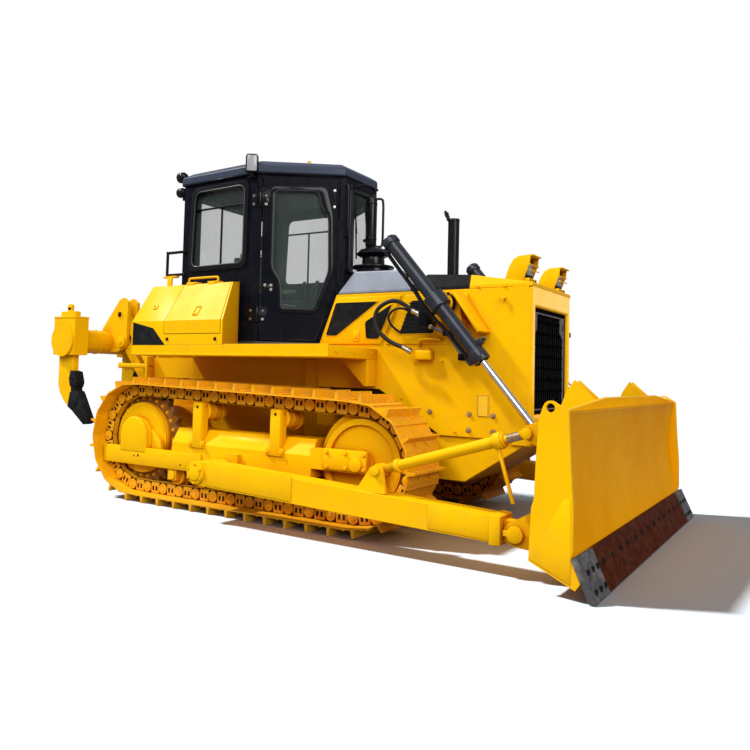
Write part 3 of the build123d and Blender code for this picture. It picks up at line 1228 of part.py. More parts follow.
ripper_barrel = rod(on_ripper(40), on_ripper(RIP_GLAND), RIP_BARREL_R)
ripper_barrel = ripper_barrel + rod_y(RIP_CYL_TOP, 54, RIP_CYL_Y - 50, RIP_CYL_Y + 50)
ripper_barrel = ripper_barrel - rod_y(RIP_CYL_TOP, RIP_PIN_R + RUN_FIT, RIP_CYL_Y - 60, RIP_CYL_Y + 60)
ripper_barrel = ripper_barrel - rod(on_ripper(75), on_ripper(RIP_GLAND + 5), RIP_ROD_R + ROD_GAP)
PARTS["ripper_barrels"] = both(ripper_barrel)
ripper_rod = rod(on_ripper(90), on_ripper(RIP_CYL_LEN - 30), RIP_ROD_R)
ripper_rod = ripper_rod + rod_y(RIP_ROD_PIN, 45, RIP_CYL_Y - RIP_EYE_HALF, RIP_CYL_Y + RIP_EYE_HALF)
pin_half = RIP_EYE_HALF + 4
ripper_rod = ripper_rod + rod_y(RIP_ROD_PIN, EYE_PIN_R - 2, RIP_CYL_Y - pin_half, RIP_CYL_Y + pin_half)
PARTS["ripper_rods"] = both(ripper_rod)

# ---------------------------------------------------------------- move to the row frame and write
def solids_of(entry):
    pieces = entry if isinstance(entry, list) else [entry]
    return [solid for piece in pieces for solid in piece.solids()]


everything = Compound(children=[s for entry in PARTS.values() for s in solids_of(entry)])
extent = everything.bounding_box()
MID_X = (extent.min.X + extent.max.X) / 2
for node, entry in PARTS.items():
    moved = [Pos(-MID_X, 0, 0) * solid for solid in solids_of(entry)]
    export_step(moved[0] if len(moved) == 1 else Compound(children=moved), f"parts/{node}.step")
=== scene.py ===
from math import acos, atan2, cos, hypot, pi, radians, sin

import bpy
from mathutils import Matrix, Vector


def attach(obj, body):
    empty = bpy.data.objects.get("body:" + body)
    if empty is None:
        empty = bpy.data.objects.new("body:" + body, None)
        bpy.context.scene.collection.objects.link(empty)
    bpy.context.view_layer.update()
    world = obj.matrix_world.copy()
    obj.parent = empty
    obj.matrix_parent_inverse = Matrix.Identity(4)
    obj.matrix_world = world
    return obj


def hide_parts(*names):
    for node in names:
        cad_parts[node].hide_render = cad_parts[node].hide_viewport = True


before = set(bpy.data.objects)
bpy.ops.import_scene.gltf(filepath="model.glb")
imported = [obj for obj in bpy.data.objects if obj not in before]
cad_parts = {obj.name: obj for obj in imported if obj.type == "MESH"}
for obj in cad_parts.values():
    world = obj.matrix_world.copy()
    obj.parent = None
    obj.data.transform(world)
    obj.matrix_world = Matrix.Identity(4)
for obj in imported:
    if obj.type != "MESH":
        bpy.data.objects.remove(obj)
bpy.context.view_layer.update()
bpy.ops.object.select_all(action="DESELECT")

# Lengths are metres. Places are written with X = 0 under the drive sprockets,
# and MID moves them to the middle of the machine.
MID = 1.373


# ------------------------------------------------------------------ camera
camera = bpy.data.objects.new("camera", bpy.data.cameras.new("camera"))
bpy.context.collection.objects.link(camera)
bpy.context.scene.camera = camera
camera.data.sensor_width = 36
camera.data.lens = 35.515
camera.data.shift_x = 0.0622
camera.data.shift_y = -0.0519
camera.data.clip_end = 200
look = Vector((-0.56301, 0.82478, 0.05256)).normalized()
side = look.cross(Vector((0, 0, 1))).normalized()
above = side.cross(look)
roll = 0.02689
right = side * cos(roll) + above * sin(roll)
upward = -side * sin(roll) + above * cos(roll)
turn = Matrix((right, upward, -look)).transposed().to_4x4()
camera.matrix_world = Matrix.Translation((5.3535 - MID, -5.8201, 1.1948)) @ turn


# ------------------------------------------------------------------ shader groups
def node_group(name, inputs, outputs):
    """A shader group with named float sockets."""
    group = bpy.data.node_groups.new(name, "ShaderNodeTree")
    for label, start in inputs.items():
        group.interface.new_socket(label, in_out="INPUT", socket_type="NodeSocketFloat").default_value = start
    for label in outputs:
        group.interface.new_socket(label, in_out="OUTPUT", socket_type="NodeSocketFloat")
    return group, group.nodes.new("NodeGroupInput"), group.nodes.new("NodeGroupOutput")


def add(tree, kind, **settings):
    node = tree.nodes.new(kind)
    for key, value in settings.items():
        setattr(node, key, value)
    return node


def noise(tree, vector, scale, detail=3.0, roughness=0.55):
    node = add(tree, "ShaderNodeTexNoise")
    tree.links.new(vector, node.inputs["Vector"])
    if hasattr(scale, "links"):
        tree.links.new(scale, node.inputs["Scale"])
    else:
        node.inputs["Scale"].default_value = scale
    node.inputs["Detail"].default_value = detail
    node.inputs["Roughness"].default_value = roughness
    return node.outputs["Fac"]


def ranged(tree, value, low, high, to_low=0.0, to_high=1.0):
    node = add(tree, "ShaderNodeMapRange", clamp=True)
    tree.links.new(value, node.inputs["Value"])
    for label, amount in (("From Min", low), ("From Max", high), ("To Min", to_low), ("To Max", to_high)):
        node.inputs[label].default_value = amount
    return node.outputs["Result"]


def maths(tree, operation, first, second=None, clamp=False):
    node = add(tree, "ShaderNodeMath", operation=operation, use_clamp=clamp)
    for i, value in enumerate((first, second)):
        if value is None:
            continue
        if hasattr(value, "links"):
            tree.links.new(value, node.inputs[i])
        else:
            node.inputs[i].default_value = value
    return node.outputs[0]


def blend_colour(tree, share, first, second):
    node = add(tree, "ShaderNodeMix", data_type="RGBA")
    for label, value in ((0, share), (6, first), (7, second)):
        if hasattr(value, "links"):
            tree.links.new(value, node.inputs[label])
        elif label:
            node.inputs[label].default_value = (*value, 1)
        else:
            node.inputs[label].default_value = value
    return node.outputs[2]


def wear_and_hollow_shade_group():
    """Masks along raised edges, broken up by noise, for wear, and in hollows, for painted shade."""
    group, given, made = node_group("edge_wear", {"Amount": 0.5, "Scale": 12.0}, ("Edges", "Hollow Shade"))
    place = add(group, "ShaderNodeTexCoord").outputs["Object"]
    bend = add(group, "ShaderNodeNewGeometry").outputs["Pointiness"]
    speckle = noise(group, place, given.outputs["Scale"], 5.0, 0.65)
    raised = ranged(group, bend, 0.515, 0.56)
    broken = ranged(group, speckle, 0.45, 0.65)
    edges = maths(group, "MULTIPLY", maths(group, "MULTIPLY", raised, broken), given.outputs["Amount"], clamp=True)
    group.links.new(edges, made.inputs["Edges"])
    # concave creases, where the finish paints in shade
    group.links.new(ranged(group, bend, 0.49, 0.44), made.inputs["Hollow Shade"])
    return group


def dust_group():
    """A dust mask that grows towards the ground and on faces that look up, and streaks down glass."""
    group, given, made = node_group(
        "settled_dust", {"Height": 0.8, "Upward": 0.3, "Scale": 3.0}, ("Mask", "Streaks"))
    place = add(group, "ShaderNodeTexCoord").outputs["Object"]
    apart = add(group, "ShaderNodeSeparateXYZ")
    group.links.new(place, apart.inputs[0])
    low = maths(group, "DIVIDE", apart.outputs["Z"], given.outputs["Height"])
    low = maths(group, "SUBTRACT", 1.0, low, clamp=True)
    facing = add(group, "ShaderNodeSeparateXYZ")
    group.links.new(add(group, "ShaderNodeNewGeometry").outputs["Normal"], facing.inputs[0])
    top = maths(group, "MULTIPLY", maths(group, "MAXIMUM", facing.outputs["Z"], 0.0), given.outputs["Upward"])
    cloud = noise(group, place, given.outputs["Scale"], 6.0, 0.6)
    mask = maths(group, "MULTIPLY", maths(group, "ADD", low, top), ranged(group, cloud, 0.3, 0.75), clamp=True)
    group.links.new(mask, made.inputs["Mask"])
    stretch = add(group, "ShaderNodeMapping")
    stretch.inputs["Scale"].default_value = (14, 14, 0.8)
    group.links.new(place, stretch.inputs["Vector"])
    streaks = noise(group, stretch.outputs["Vector"], 1.0, 4.0, 0.6)
    group.links.new(ranged(group, streaks, 0.52, 0.72), made.inputs["Streaks"])
    return group


def skin_group():
    """The fine relief of a sprayed, cast or moulded surface, and how its gloss varies."""
    group, given, made = node_group("sprayed_skin", {"Grain": 260.0, "Wave": 5.0}, ("Relief", "Gloss", "Tone"))
    place = add(group, "ShaderNodeTexCoord").outputs["Object"]
    fine = noise(group, place, given.outputs["Grain"], 2.0, 0.5)
    wave = noise(group, place, given.outputs["Wave"], 3.0, 0.5)
    relief = maths(group, "ADD", maths(group, "MULTIPLY", fine, 0.35), wave)
    group.links.new(relief, made.inputs["Relief"])
    group.links.new(ranged(group, wave, 0.3, 0.7, -0.06, 0.06), made.inputs["Gloss"])
    group.links.new(ranged(group, wave, 0.25, 0.75), made.inputs["Tone"])
    return group


WEAR_AND_HOLLOW_SHADE = wear_and_hollow_shade_group()
DUST = dust_group()
SKIN = skin_group()


def place_group(tree, group, **values):
    node = add(tree, "ShaderNodeGroup", node_tree=group)
    for label, value in values.items():
        node.inputs[label].default_value = value
    return node


def sheltered_shade_group():
    """A mask of the places little open air reaches, where the paint is given a darker, redder tone as painted shade.
    """
    group, given, made = node_group("shelter", {"Reach": 0.6}, ("Mask",))
    open_air = add(group, "ShaderNodeAmbientOcclusion", samples=6)
    group.links.new(given.outputs["Reach"], open_air.inputs["Distance"])
    group.links.new(ranged(group, open_air.outputs["AO"], 0.62, 0.12), made.inputs["Mask"])
    return group


SHELTERED_SHADE = sheltered_shade_group()


def new_material(name):
    made = bpy.data.materials.new(name)
    made.use_nodes = True
    return made, made.node_tree, made.node_tree.nodes["Principled BSDF"]


def add_bump(tree, shader, height, strength, distance):
    bump = add(tree, "ShaderNodeBump")
    bump.inputs["Strength"].default_value = strength
    bump.inputs["Distance"].default_value = distance
    tree.links.new(height, bump.inputs["Height"])
    tree.links.new(bump.outputs["Normal"], shader.inputs["Normal"])


def finish(
    name, colour, deep, roughness, metallic=0.0, coat=0.0, grain=260.0, wave=5.0, relief=0.02,
    worn=(0.3, 0.28, 0.26), wear=0.3, wear_scale=12.0, hollow_shade_colour=None, dust=(0.42, 0.33, 0.22), dust_height=0.5,
    dust_share=0.35, specular=0.2, sheltered_shade_colour=None,
):
    """A finish with two tones of one colour, worn edges, painted shade in hollows and sheltered recesses, dust and
    fine relief.
    """
    made, tree, shader = new_material(name)
    skin = place_group(tree, SKIN, Grain=grain, Wave=wave)
    edges = place_group(tree, WEAR_AND_HOLLOW_SHADE, Amount=wear, Scale=wear_scale)
    dirt = place_group(tree, DUST, Height=dust_height, Upward=0.1)
    tone = blend_colour(tree, skin.outputs["Tone"], colour, deep)
    # painted shade: creases darkened towards a redder tone of the paint
    if hollow_shade_colour:
        tone = blend_colour(tree, maths(tree, "MULTIPLY", edges.outputs["Hollow Shade"], 0.6), tone, hollow_shade_colour)
    # painted shade: places the open air hardly reaches turn darker and redder
    if sheltered_shade_colour:
        shelter = place_group(tree, SHELTERED_SHADE, Reach=0.6)
        tone = blend_colour(tree, maths(tree, "MULTIPLY", shelter.outputs["Mask"], 0.8), tone, sheltered_shade_colour)
    tone = blend_colour(tree, maths(tree, "MULTIPLY", dirt.outputs["Mask"], dust_share), tone, dust)
    tone = blend_colour(tree, edges.outputs["Edges"], tone, worn)
    tree.links.new(tone, shader.inputs["Base Color"])
    rough = maths(tree, "ADD", skin.outputs["Gloss"], roughness)
    rough = maths(tree, "ADD", rough, maths(tree, "MULTIPLY", dirt.outputs["Mask"], 0.35), clamp=True)
    tree.links.new(rough, shader.inputs["Roughness"])
    shader.inputs["Metallic"].default_value = metallic
    shader.inputs["Specular IOR Level"].default_value = specular
    if coat:
        shader.inputs["Coat Weight"].default_value = coat
        shader.inputs["Coat Roughness"].default_value = 0.06
    add_bump(tree, shader, skin.outputs["Relief"], relief * 10, 0.002)
    return made


yellow_paint = finish("yellow_paint", (0.88, 0.49, 0.001), (0.85, 0.45, 0.001), 0.36, relief=0.005,
    worn=(0.66, 0.32, 0.02), wear=0.2, hollow_shade_colour=(0.36, 0.1, 0.002), dust_share=0.03, specular=0.06,
    sheltered_shade_colour=(0.5, 0.085, 0.001))
# the mouldboard's yellow, darker and more orange than yellow_paint: painted shade for the blade's front, which faces
# away from the key light
mouldboard_shaded_yellow = finish("mouldboard_shaded_yellow", (0.82, 0.36, 0.0), (0.74, 0.27, 0.0), 0.48, relief=0.01, wave=2.0,
    worn=(0.58, 0.24, 0.01), wear=0.2, hollow_shade_colour=(0.34, 0.08, 0.001), dust_share=0.0, specular=0.02)
# near-black red-brown for small dark pieces put at holes, slots, gaps and pockets: painted shade
painted_recess_shade = finish("painted_recess_shade", (0.06, 0.012, 0.003), (0.03, 0.007, 0.003), 0.6, relief=0.02, wear=0.0,
    dust_share=0.05, specular=0.05)
track_paint = finish("track_paint", (0.87, 0.42, 0.002), (0.78, 0.33, 0.002), 0.42, relief=0.03, wave=14.0,
    worn=(0.55, 0.3, 0.07), wear=0.6, wear_scale=30.0, hollow_shade_colour=(0.25, 0.06, 0.002), dust_share=0.08,
    dust_height=0.3, specular=0.07)
black_paint = finish("black_paint", (0.003, 0.004, 0.007), (0.005, 0.006, 0.01), 0.28, coat=0.03, relief=0.004,
    worn=(0.05, 0.05, 0.06), wear=0.1, dust=(0.1, 0.1, 0.1), dust_share=0.0, specular=0.06)
grille_black = finish("grille_black", (0.0015, 0.0015, 0.002), (0.002, 0.002, 0.002), 0.8, relief=0.01, wear=0.0,
    dust_share=0.0, specular=0.01)
roof_paint = finish("roof_paint", (0.045, 0.056, 0.088), (0.036, 0.046, 0.075), 0.32, coat=0.05, relief=0.004,
    worn=(0.1, 0.1, 0.12), wear=0.1, dust=(0.16, 0.16, 0.17), dust_share=0.03, specular=0.12)
barrel_paint = finish("barrel_paint", (0.022, 0.026, 0.036), (0.016, 0.018, 0.026), 0.26, coat=0.25, relief=0.004,
    worn=(0.08, 0.08, 0.09), wear=0.12, dust_share=0.02, specular=0.2)
# window seals: rubber, coloured a lighter grey than the black frames as a painted highlight
glazing_rubber = finish("glazing_rubber", (0.05, 0.055, 0.06), (0.035, 0.04, 0.045), 0.35, relief=0.01, wear=0.0,
    dust_share=0.03)
cowl_grey = finish("cowl_grey", (0.3, 0.32, 0.38), (0.22, 0.24, 0.29), 0.3, coat=0.2, relief=0.004,
    worn=(0.12, 0.12, 0.13), wear=0.15, dust_share=0.03)
matt_black = finish("matt_black", (0.006, 0.006, 0.007), (0.01, 0.01, 0.011), 0.55, relief=0.03, grain=500.0,
    worn=(0.05, 0.05, 0.05), wear=0.2, dust=(0.1, 0.09, 0.08), dust_share=0.03, specular=0.08)
heat_black = finish("heat_black", (0.009, 0.008, 0.008), (0.016, 0.013, 0.012), 0.45, relief=0.04, grain=180.0,
    wear=0.25, worn=(0.07, 0.05, 0.04), dust_share=0.03, specular=0.15)
edge_steel = finish("edge_steel", (0.06, 0.009, 0.002), (0.035, 0.005, 0.001), 0.55, relief=0.05, wave=9.0,
    worn=(0.16, 0.05, 0.02), wear=0.3, wear_scale=20.0, dust=(0.08, 0.03, 0.015), dust_share=0.1, specular=0.06)
bare_steel = finish("bare_steel", (0.085, 0.085, 0.09), (0.045, 0.045, 0.05), 0.5, metallic=0.2, relief=0.05,
    wave=11.0, worn=(0.28, 0.26, 0.24), wear=0.5, dust=(0.12, 0.09, 0.07), dust_share=0.1)
# dark orange-brown on the sprockets: painted shade for the recessed sprocket ring, with worn edges
shaded_sprocket_paint = finish("shaded_sprocket_paint", (0.3, 0.1, 0.004), (0.17, 0.05, 0.004), 0.5, relief=0.04, wave=12.0,
    worn=(0.4, 0.26, 0.12), wear=0.5, dust_share=0.1, specular=0.1)
satin_black = finish("satin_black", (0.004, 0.004, 0.006), (0.006, 0.006, 0.008), 0.22, relief=0.006, grain=400.0,
    coat=0.12, worn=(0.05, 0.05, 0.05), wear=0.08, dust_share=0.01, specular=0.15)
grey_frame = finish("grey_frame", (0.13, 0.12, 0.14), (0.09, 0.085, 0.1), 0.4, relief=0.02, worn=(0.2, 0.2, 0.2),
    wear=0.3, dust_share=0.03)
pale_plate = finish("pale_plate", (0.9, 0.55, 0.02), (0.86, 0.5, 0.02), 0.45, relief=0.01, wear=0.1,
    dust_share=0.03, specular=0.1)
aged_bolt = finish("aged_bolt", (0.42, 0.25, 0.1), (0.26, 0.14, 0.05), 0.45, metallic=0.4, relief=0.04, wave=20.0,
    worn=(0.6, 0.5, 0.36), wear=0.6, dust_share=0.05, specular=0.2)
plated_steel = finish("plated_steel", (0.55, 0.52, 0.46), (0.46, 0.42, 0.34), 0.28, metallic=1.0, relief=0.02,
    worn=(0.7, 0.68, 0.64), wear=0.4, dust_share=0.1)
chrome_rod = finish("chrome_rod", (0.8, 0.8, 0.8), (0.74, 0.74, 0.75), 0.09, metallic=1.0, relief=0.003, wear=0.0,
    dust_share=0.06)
dark_iron = finish("dark_iron", (0.03, 0.024, 0.02), (0.05, 0.038, 0.03), 0.6, metallic=0.3, relief=0.06,
    wave=12.0, wear=0.4, dust_share=0.3)
rubber = finish("rubber", (0.012, 0.012, 0.012), (0.02, 0.02, 0.02), 0.5, relief=0.02, grain=700.0, wear=0.0,
    dust=(0.1, 0.09, 0.08), dust_share=0.15)
moulded_plastic = finish("moulded_plastic", (0.035, 0.036, 0.038), (0.05, 0.05, 0.052), 0.5, relief=0.05,
    grain=900.0, wear=0.15, worn=(0.12, 0.12, 0.12), dust_share=0.1)


def cloth_material():
    made, tree, shader = new_material("seat_cloth")
    place = add(tree, "ShaderNodeTexCoord").outputs["Object"]
    weave = add(tree, "ShaderNodeTexWave", wave_type="BANDS", bands_direction="DIAGONAL")
    weave.inputs["Scale"].default_value = 160
    weave.inputs["Distortion"].default_value = 1.5
    tree.links.new(place, weave.inputs["Vector"])
    cloud = noise(tree, place, 9.0, 5.0)
    tone = blend_colour(tree, ranged(tree, cloud, 0.3, 0.7), (0.16, 0.2, 0.16), (0.22, 0.26, 0.2))
    tone = blend_colour(tree, maths(tree, "MULTIPLY", weave.outputs["Fac"], 0.35), tone, (0.1, 0.12, 0.1))
    tree.links.new(tone, shader.inputs["Base Color"])
    shader.inputs["Roughness"].default_value = 0.85
    shader.inputs["Sheen Weight"].default_value = 0.3
    add_bump(tree, shader, weave.outputs["Fac"], 0.3, 0.001)
    return made


def clear_material(name, tint, alpha, roughness):
    """Thin clear glass or lens: mostly seen through, with a film of dust."""
    made, tree, shader = new_material(name)
    skin = place_group(tree, SKIN, Grain=60.0, Wave=1.5)
    dirt = place_group(tree, DUST, Height=0.1, Upward=0.2)
    tree.links.new(blend_colour(tree, dirt.outputs["Streaks"], tint, tuple(v * 1.3 for v in tint)),
                   shader.inputs["Base Color"])
    haze = maths(tree, "MULTIPLY", skin.outputs["Tone"], 0.05)
    tree.links.new(maths(tree, "ADD", haze, alpha), shader.inputs["Alpha"])
    tree.links.new(maths(tree, "MULTIPLY", skin.outputs["Tone"], roughness), shader.inputs["Roughness"])
    shader.inputs["Coat Weight"].default_value = 0.6
    return made


seat_cloth = cloth_material()
cab_glass = clear_material("cab_glass", (0.1, 0.14, 0.13), 0.16, 0.04)
lamp_lens = clear_material("lamp_lens", (0.75, 0.77, 0.78), 0.45, 0.15)


def dress(node, material):
    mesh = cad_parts[node].data
    mesh.materials.clear()
    mesh.materials.append(material)


NODE_FINISH = {
    yellow_paint: (
        "transmission_case", "main_frame", "engine_side_panels", "radiator_mask", "hood", "platform", "tank_left",
        "tool_box_right", "tool_box_lid", "blade_back", "blade_brackets", "push_arms", "screw_brace_right",
        "track_frame_left", "track_frame_right", "final_drives", "idlers", "track_rollers", "equalizer_bar",
        "ripper_mount", "ripper_lower_links", "ripper_upper_links", "ripper_beam", "ripper_shanks",
        "lift_yokes", "headlamps",
    ),
    mouldboard_shaded_yellow: ("mouldboard",),
    track_paint: ("track_left", "track_right"),
    black_paint: (
        "cab_side_panels", "cab_rear_panel", "cab_front_panel", "door_left", "door_right", "precleaner",
    ),
    roof_paint: ("cab_roof",),
    barrel_paint: ("lift_barrels", "tilt_cylinder_left", "ripper_barrels"),
    cowl_grey: ("cowl",),
    matt_black: ("hood_rear", "cab_lamps", "grab_rails", "cab_mirrors", "ripper_teeth"),
    grille_black: ("radiator_grille", "radiator_core"),
    heat_black: ("exhaust",),
    edge_steel: ("cutting_edge",),
    shaded_sprocket_paint: ("sprockets",),
    bare_steel: ("end_bits",),
    chrome_rod: ("lift_rods", "ripper_rods"),
    dark_iron: ("engine_block",),
    moulded_plastic: ("cab_fittings", "cab_floor"),
    seat_cloth: ("seat_cushions",),
    cab_glass: ("cab_glass", "door_glass_left", "door_glass_right"),
}
for material, nodes in NODE_FINISH.items():
    for node in nodes:
        dress(node, material)


# ------------------------------------------------------------------ modelling helpers
def deselect():
    bpy.ops.object.select_all(action="DESELECT")


def only(piece):
    """Makes one piece the selected and active one."""
    deselect()
    piece.select_set(True)
    bpy.context.view_layer.objects.active = piece
    return piece


def apply_place():
    bpy.ops.object.transform_apply(location=True, rotation=True, scale=True)


def edit_all(piece):
    """Opens a piece in edit mode with all of it selected."""
    only(piece)
    bpy.ops.object.mode_set(mode="EDIT")
    bpy.ops.mesh.select_all(action="SELECT")


def object_mode():
    bpy.ops.object.mode_set(mode="OBJECT")


rides = {}


def settle(obj, name, material=yellow_paint, body="tractor"):
    """Puts a finished piece's place into its mesh, names it, paints it and lets it ride."""
    only(obj)
    apply_place()
    obj.name = obj.data.name = name
    obj.data.materials.clear()
    obj.data.materials.append(material)
    if body:
        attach(obj, body)
        rides[name] = body
    return obj


def at(point):
    """From the layout's X, counted from the sprockets, to the machine's own."""
    return (point[0] - MID, point[1], point[2])


def block(low, high):
    deselect()
    low, high = Vector(at(low)), Vector(at(high))
    size = [abs(b - a) for a, b in zip(low, high)]
    bpy.ops.mesh.primitive_cube_add(size=1, location=(low + high) / 2)
    piece = bpy.context.object
    piece.scale = size
    apply_place()
    return piece


def bar(start, end, radius, sides=28, tip=None):
    """A round bar, or a cone where tip gives the far end's radius."""
    deselect()
    start, end = Vector(at(start)), Vector(at(end))
    along = end - start
    bpy.ops.mesh.primitive_cone_add(
        vertices=sides, radius1=radius, radius2=radius if tip is None else tip, depth=along.length,
        location=(start + end) / 2, rotation=along.to_track_quat("Z", "Y").to_euler(),
    )
    apply_place()
    return bpy.context.object


def smooth_below(angle):
    """Shades the active piece smooth where its faces meet at less than an angle."""
    bpy.ops.object.shade_smooth_by_angle(angle=radians(angle))


def rounding(piece, width, segments, angle):
    """A bevel modifier on edges sharper than an angle."""
    edge = piece.modifiers.new("rounding", "BEVEL")
    edge.width, edge.segments, edge.limit_method, edge.angle_limit = width, segments, "ANGLE", radians(angle)
    return edge


def bevel(piece, width, segments=2, angle=32):
    only(piece)
    bpy.ops.object.modifier_apply(modifier=rounding(piece, width, segments, angle).name)
    smooth_below(40)
    return piece


def slice_off(piece, point, normal):
    """Cuts away what lies on the normal's side of a plane, and closes the cut."""
    edit_all(piece)
    bpy.ops.mesh.bisect(plane_co=at(point), plane_no=normal, use_fill=True, clear_outer=True)
    object_mode()
    return piece


def plate(outline, y0, y1):
    """A flat plate from a convex outline in X and Z, between two Y planes: a block, trimmed edge by edge."""
    xs, zs = [p[0] for p in outline], [p[1] for p in outline]
    piece = block((min(xs), y0, min(zs)), (max(xs), y1, max(zs)))
    area = sum(a[0] * b[1] - b[0] * a[1] for a, b in zip(outline, outline[1:] + outline[:1]))
    order = outline if area > 0 else outline[::-1]
    for a, b in zip(order, order[1:] + order[:1]):
        dx, dz = b[0] - a[0], b[1] - a[1]
        if abs(dx) < 1e-6 or abs(dz) < 1e-6:
            continue
        slice_off(piece, (a[0], y0, a[1]), Vector((dz, 0, -dx)).normalized())
    return piece


def slab(low, high, width, segments=2):
    """A block with rounded edges."""
    return bevel(block(low, high), width, segments)


def rod(start, end, radius, sides, width, segments=2, tip=None):
    """A bar or cone with rounded rims."""
    return bevel(bar(start, end, radius, sides, tip), width, segments)


def sheet(outline, y0, y1, width, segments=2):
    """A plate with rounded edges."""
    return bevel(plate(outline, y0, y1), width, segments)


def merged(pieces):
    """One object from several."""
    only(pieces[0])
    for piece in pieces[1:]:
        piece.select_set(True)
    if len(pieces) > 1:
        bpy.ops.object.join()
    return pieces[0]


def join(pieces, name, material=yellow_paint, body="tractor"):
    """One object from several, finished and riding."""
    return settle(merged(pieces), name, material, body)


def copy_of(piece, matrix):
    """A copy with its own mesh, moved by a matrix."""
    twin = piece.copy()
    twin.data = piece.data.copy()
    bpy.context.collection.objects.link(twin)
    twin.data.transform(matrix)
    if matrix.determinant() < 0:
        twin.data.flip_normals()
    return twin


ACROSS = Matrix.Scale(-1, 4, (0, 1, 0))


def twin(piece):
    """The left-hand twin of a finished right-hand piece, with its finish and its body's left-hand twin."""
    name, body = (label.replace("right", "left") for label in (piece.name, rides[piece.name]))
    return settle(copy_of(piece, ACROSS), name, piece.data.materials[0], body)


def drop(piece):
    bpy.data.objects.remove(piece)


# ------------------------------------------------------------------ small hardware
def hex_bolt(size=0.012, thick=0.009):
    """A hexagon head on a washer, standing along +Z at the origin."""
    deselect()
    bpy.ops.mesh.primitive_cylinder_add(
        vertices=20, radius=size * 1.45, depth=thick * 0.3, location=(0, 0, thick * 0.15))
    washer = bpy.context.object
    deselect()
    bpy.ops.mesh.primitive_cylinder_add(vertices=6, radius=size, depth=thick, location=(0, 0, thick * 0.8))
    head = bevel(bpy.context.object, size * 0.12, 1)
    piece = merged([washer, head])
    apply_place()
    return piece


def aim(point, direction):
    """The matrix that stands a +Z piece at a point along a direction."""
    return Matrix.Translation(at(point)) @ Vector(direction).to_track_quat("Z", "Y").to_matrix().to_4x4()


def bolts(name, places, size, material=yellow_paint, thick=0.009, body="tractor"):
    """Copies of one bolt at each (point, direction)."""
    first = hex_bolt(size, thick)
    made = [copy_of(first, aim(point, direction)) for point, direction in places]
    drop(first)
    return join(made, name, material, body)


def as_mesh(name, curve):
    """A curve made into a mesh piece."""
    piece = bpy.data.objects.new(name, curve)
    bpy.context.collection.objects.link(piece)
    only(piece)
    bpy.ops.object.convert(target="MESH")
    return bpy.context.object


def add_line(curve, points, kind="POLY"):
    line = curve.splines.new(kind)
    line.points.add(len(points) - 1)
    for spot, point in zip(line.points, points):
        spot.co = (*point, 1)
    return line


def line_curve(name, points, radius, roundness, kind="POLY"):
    """A curve through points, with a round section."""
    deselect()
    curve = bpy.data.curves.new(name, "CURVE")
    curve.dimensions = "3D"
    curve.bevel_depth, curve.bevel_resolution = radius, roundness
    return curve, add_line(curve, [at(point) for point in points], kind)


def hose(name, points, radius, material=yellow_paint, body="tractor", smooth=True):
    """A hose or pipe held at both ends, along a smooth line through its clips."""
    curve, line = line_curve(name, points, radius, 4, "NURBS" if smooth else "POLY")
    if smooth:
        line.order_u, line.use_endpoint_u = 3, True
    curve.resolution_u, curve.use_fill_caps = 8, True
    piece = as_mesh(name, curve)
    bpy.ops.object.shade_smooth()
    return settle(piece, name, material, body)


SIDES = ((-1, "right"), (1, "left"))


def hoses(name, points, radius, material=yellow_paint, smooth=True):
    """A hose on each side of the tractor, from its left-hand points."""
    for sign, label in SIDES:
        hose(f"{name}_{label}", [(x, sign * y, z) for x, y, z in points], radius, material, smooth=smooth)


def both_sides(y, rows):
    """Bolt places on the two faces at y and -y, each with the way its head points."""
    return [((x, sign * y, z), (0, sign, 0)) for sign in (-1, 1) for x, z in rows]


def two_sided(pieces):
    """The right-hand pieces and their left-hand twins."""
    return pieces + [copy_of(piece, ACROSS) for piece in pieces]


# ------------------------------------------------------------------ main shells, edges rounded over
def softened(node, name, width, material=yellow_paint, body="tractor"):
    """A main part's own form, merged to clean faces, with every hard edge rounded over."""
    deselect()
    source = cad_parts[node]
    piece = bpy.data.objects.new(name, source.data.copy())
    bpy.context.collection.objects.link(piece)
    piece.matrix_world = source.matrix_world
    edit_all(piece)
    bpy.ops.mesh.remove_doubles(threshold=0.00002)
    bpy.ops.mesh.dissolve_limited(angle_limit=radians(0.5))
    object_mode()
    edge = rounding(piece, width, 2, 28)
    edge.harden_normals = edge.use_clamp_overlap = True
    smooth_below(32)
    bpy.ops.object.modifier_apply(modifier=edge.name)
    settle(piece, name, material, body)
    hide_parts(node)


